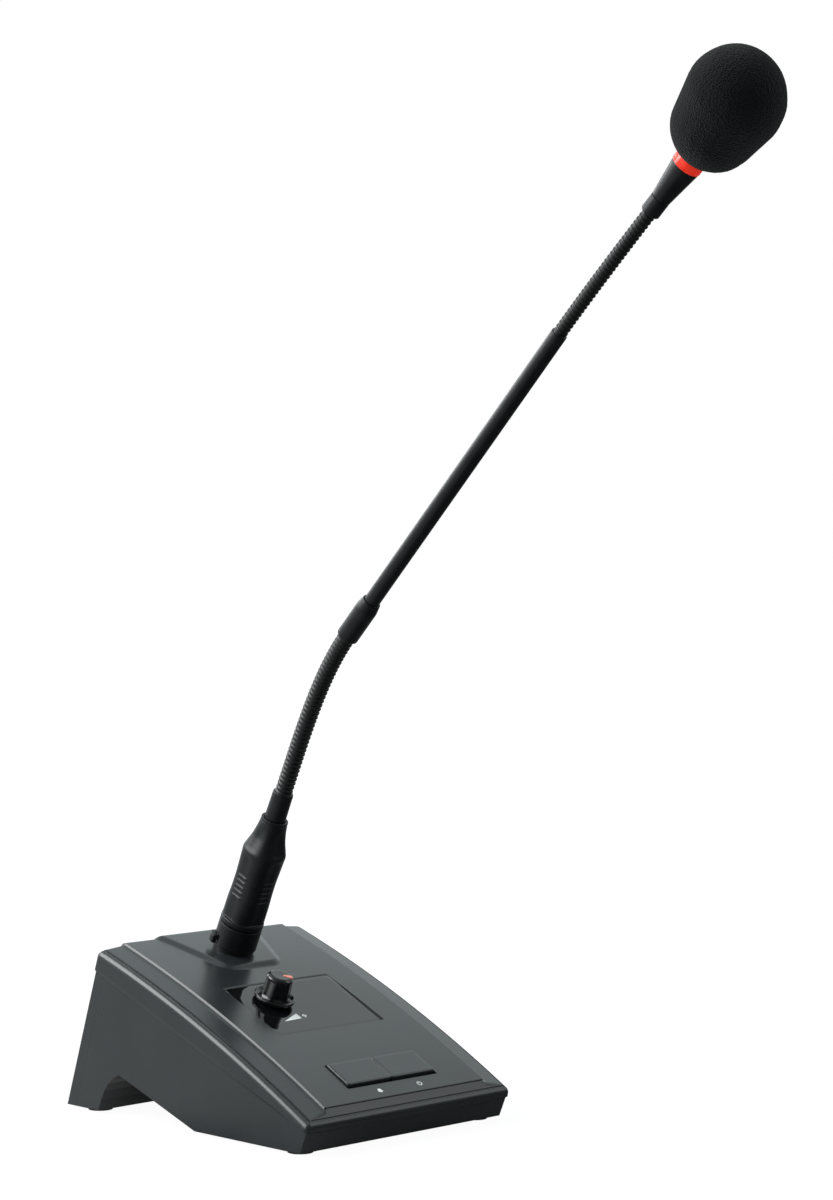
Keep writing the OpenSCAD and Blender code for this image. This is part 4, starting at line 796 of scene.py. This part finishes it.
# floor, light and camera
def floorMaterial():
    # pale floor: white to the camera, with the object's soft shadow left on it
    material = bpy.data.materials.new("paleFloor")
    material.use_nodes = True
    tree = material.node_tree
    tree.nodes.clear()
    path = add(tree, "ShaderNodeLightPath")
    where = add(tree, "ShaderNodeTexCoord").outputs["Object"]
    far = add(tree, "ShaderNodeVectorMath", {"operation": "LENGTH"})
    tree.links.new(where, far.inputs[0])
    share = add(tree, "ShaderNodeMapRange", {"From Min": 0.16, "From Max": 0.5, "To Min": 0.87, "To Max": 1.0},
                {"Value": far.outputs["Value"]})
    seen = add(tree, "ShaderNodeMath", {"operation": "MULTIPLY"})
    tree.links.new(path.outputs["Is Camera Ray"], seen.inputs[0])
    tree.links.new(share.outputs["Result"], seen.inputs[1])
    paint = add(tree, "ShaderNodeBsdfDiffuse", {"Color": linear("#A9AAAB")})
    # in the object's reflections the floor is painted light: dark in front and pale behind, as a lit table is
    back = add(tree, "ShaderNodeVectorMath", {"operation": "DOT_PRODUCT"})
    tree.links.new(where, back.inputs[0])
    back.inputs[1].default_value = (-0.3, 0.95, 0.0)
    level = add(tree, "ShaderNodeMapRange", {"From Min": -0.1, "From Max": 0.06, "To Min": 0.08, "To Max": 0.62},
                {"Value": back.outputs["Value"]})
    # and painted shade under the object
    clear = add(tree, "ShaderNodeMapRange", {"From Min": 0.05, "From Max": 0.1}, {"Value": far.outputs["Value"]})
    both = add(tree, "ShaderNodeMath", {"operation": "MULTIPLY"})
    tree.links.new(level.outputs["Result"], both.inputs[0])
    tree.links.new(clear.outputs["Result"], both.inputs[1])
    mirrored = add(tree, "ShaderNodeEmission", {"Color": (1, 1, 1, 1)}, {"Strength": both.outputs["Value"]})
    unseen = add(tree, "ShaderNodeMixShader", {}, {"Fac": path.outputs["Is Glossy Ray"]})
    tree.links.new(paint.outputs["BSDF"], unseen.inputs[1])
    tree.links.new(mirrored.outputs["Emission"], unseen.inputs[2])
    glow = add(tree, "ShaderNodeEmission", {"Color": (1, 1, 1, 1), "Strength": 1.1})
    mix = add(tree, "ShaderNodeMixShader", {}, {"Fac": seen.outputs["Value"]})
    tree.links.new(unseen.outputs["Shader"], mix.inputs[1])
    tree.links.new(glow.outputs["Emission"], mix.inputs[2])
    add(tree, "ShaderNodeOutputMaterial", {}, {"Surface": mix.outputs["Shader"]})
    return material


floorMesh = bpy.data.meshes.new("floor")
floorMesh.from_pydata([(-6, -6, 0), (6, -6, 0), (6, 6, 0), (-6, 6, 0)], [], [(0, 1, 2, 3)])
floorMesh.materials.append(floorMaterial())
floor = bpy.data.objects.new("floor", floorMesh)
bpy.context.scene.collection.objects.link(floor)

world = bpy.data.worlds.new("studio")
bpy.context.scene.world = world
world.use_nodes = True
worldTree = world.node_tree
worldTree.nodes.clear()
lightPath = add(worldTree, "ShaderNodeLightPath")
# the room is bright behind and above the object, and dim behind the camera
toward = add(worldTree, "ShaderNodeVectorMath", {"operation": "DOT_PRODUCT"})
worldTree.links.new(add(worldTree, "ShaderNodeTexCoord").outputs["Generated"], toward.inputs[0])
toward.inputs[1].default_value = (0.2, 0.85, 0.48)
roomLevel = add(worldTree, "ShaderNodeMapRange",
                {"From Min": -0.3, "From Max": 0.75, "To Min": 0.2, "To Max": 1.2},
                {"Value": toward.outputs["Value"]})
room = add(worldTree, "ShaderNodeBackground", {"Color": linear("#EDF6F8")},
           {"Strength": roomLevel.outputs["Result"]})
white = add(worldTree, "ShaderNodeBackground", {"Color": (1, 1, 1, 1), "Strength": 1.0})
shown = add(worldTree, "ShaderNodeMixShader", {}, {"Fac": lightPath.outputs["Is Camera Ray"]})
worldTree.links.new(room.outputs["Background"], shown.inputs[1])
worldTree.links.new(white.outputs["Background"], shown.inputs[2])
add(worldTree, "ShaderNodeOutputWorld", {}, {"Surface": shown.outputs["Shader"]})


def aim(place, target):
    # a turn that points -Z at the target with +Y up
    back = np.array(place, float) - np.array(target, float)
    back /= np.linalg.norm(back)
    right = np.cross([0, 0, 1], back)
    right /= np.linalg.norm(right)
    m = np.eye(4)
    m[:3, 0], m[:3, 1], m[:3, 2], m[:3, 3] = right, np.cross(back, right), back, place
    return Matrix(m.tolist())


# soft boxes: place in metres, width, height and watts
lamps = {"rimBox": ((-1.0, 0.75, 1.05), 1.0, 1.0, 26.0), "backBox": ((0.1, 1.6, 0.9), 0.9, 0.5, 6.0),
         "leftBox": ((-1.7, 0.1, 0.6), 0.5, 0.9, 4.0), "frontBox": ((1.0, -0.95, 0.83), 0.7, 0.7, 2.2)}
for lampName, (place, sizeX, sizeY, power) in lamps.items():
    lamp = bpy.data.lights.new(lampName, "AREA")
    lamp.shape, lamp.size, lamp.size_y, lamp.energy = "RECTANGLE", sizeX, sizeY, power
    lampObj = bpy.data.objects.new(lampName, lamp)
    lampObj.matrix_world = aim(place, (0, 0, 0.08))
    bpy.context.scene.collection.objects.link(lampObj)

# the photograph's camera: focal length in pixels of a frame 1200 high, angles in degrees, place in mm
shot = {"focalPx": 3067.0, "frameH": 1200, "sensor": 36, "yaw": 44.429, "pitch": 1.417, "roll": 0.053,
        "place": (-911.59, -1012.18, 262.60)}
camData = bpy.data.cameras.new("camera")
camData.sensor_fit, camData.sensor_width, camData.sensor_height = "VERTICAL", shot["sensor"], shot["sensor"]
camData.lens = shot["focalPx"] / shot["frameH"] * shot["sensor"]
camData.clip_start, camData.clip_end = 0.05, 50
(cosYaw, sinYaw), (cosPitch, sinPitch), (cosRoll, sinRoll) = [direction(shot[a]) for a in ("yaw", "pitch", "roll")]
ahead, across = np.array([sinYaw * cosPitch, cosYaw * cosPitch, -sinPitch]), np.array([cosYaw, -sinYaw, 0.0])
down = np.cross(ahead, across)
right, low = across * cosRoll + down * sinRoll, -across * sinRoll + down * cosRoll
turn = np.eye(4)
turn[:3, 0], turn[:3, 1], turn[:3, 2], turn[:3, 3] = right, -low, -ahead, np.array(shot["place"]) * mm
camera = bpy.data.objects.new("camera", camData)
camera.matrix_world = Matrix(turn.tolist())
bpy.context.scene.collection.objects.link(camera)
bpy.context.scene.camera = camera
bpy.context.scene.view_settings.view_transform = "Standard"

print("scene ready")
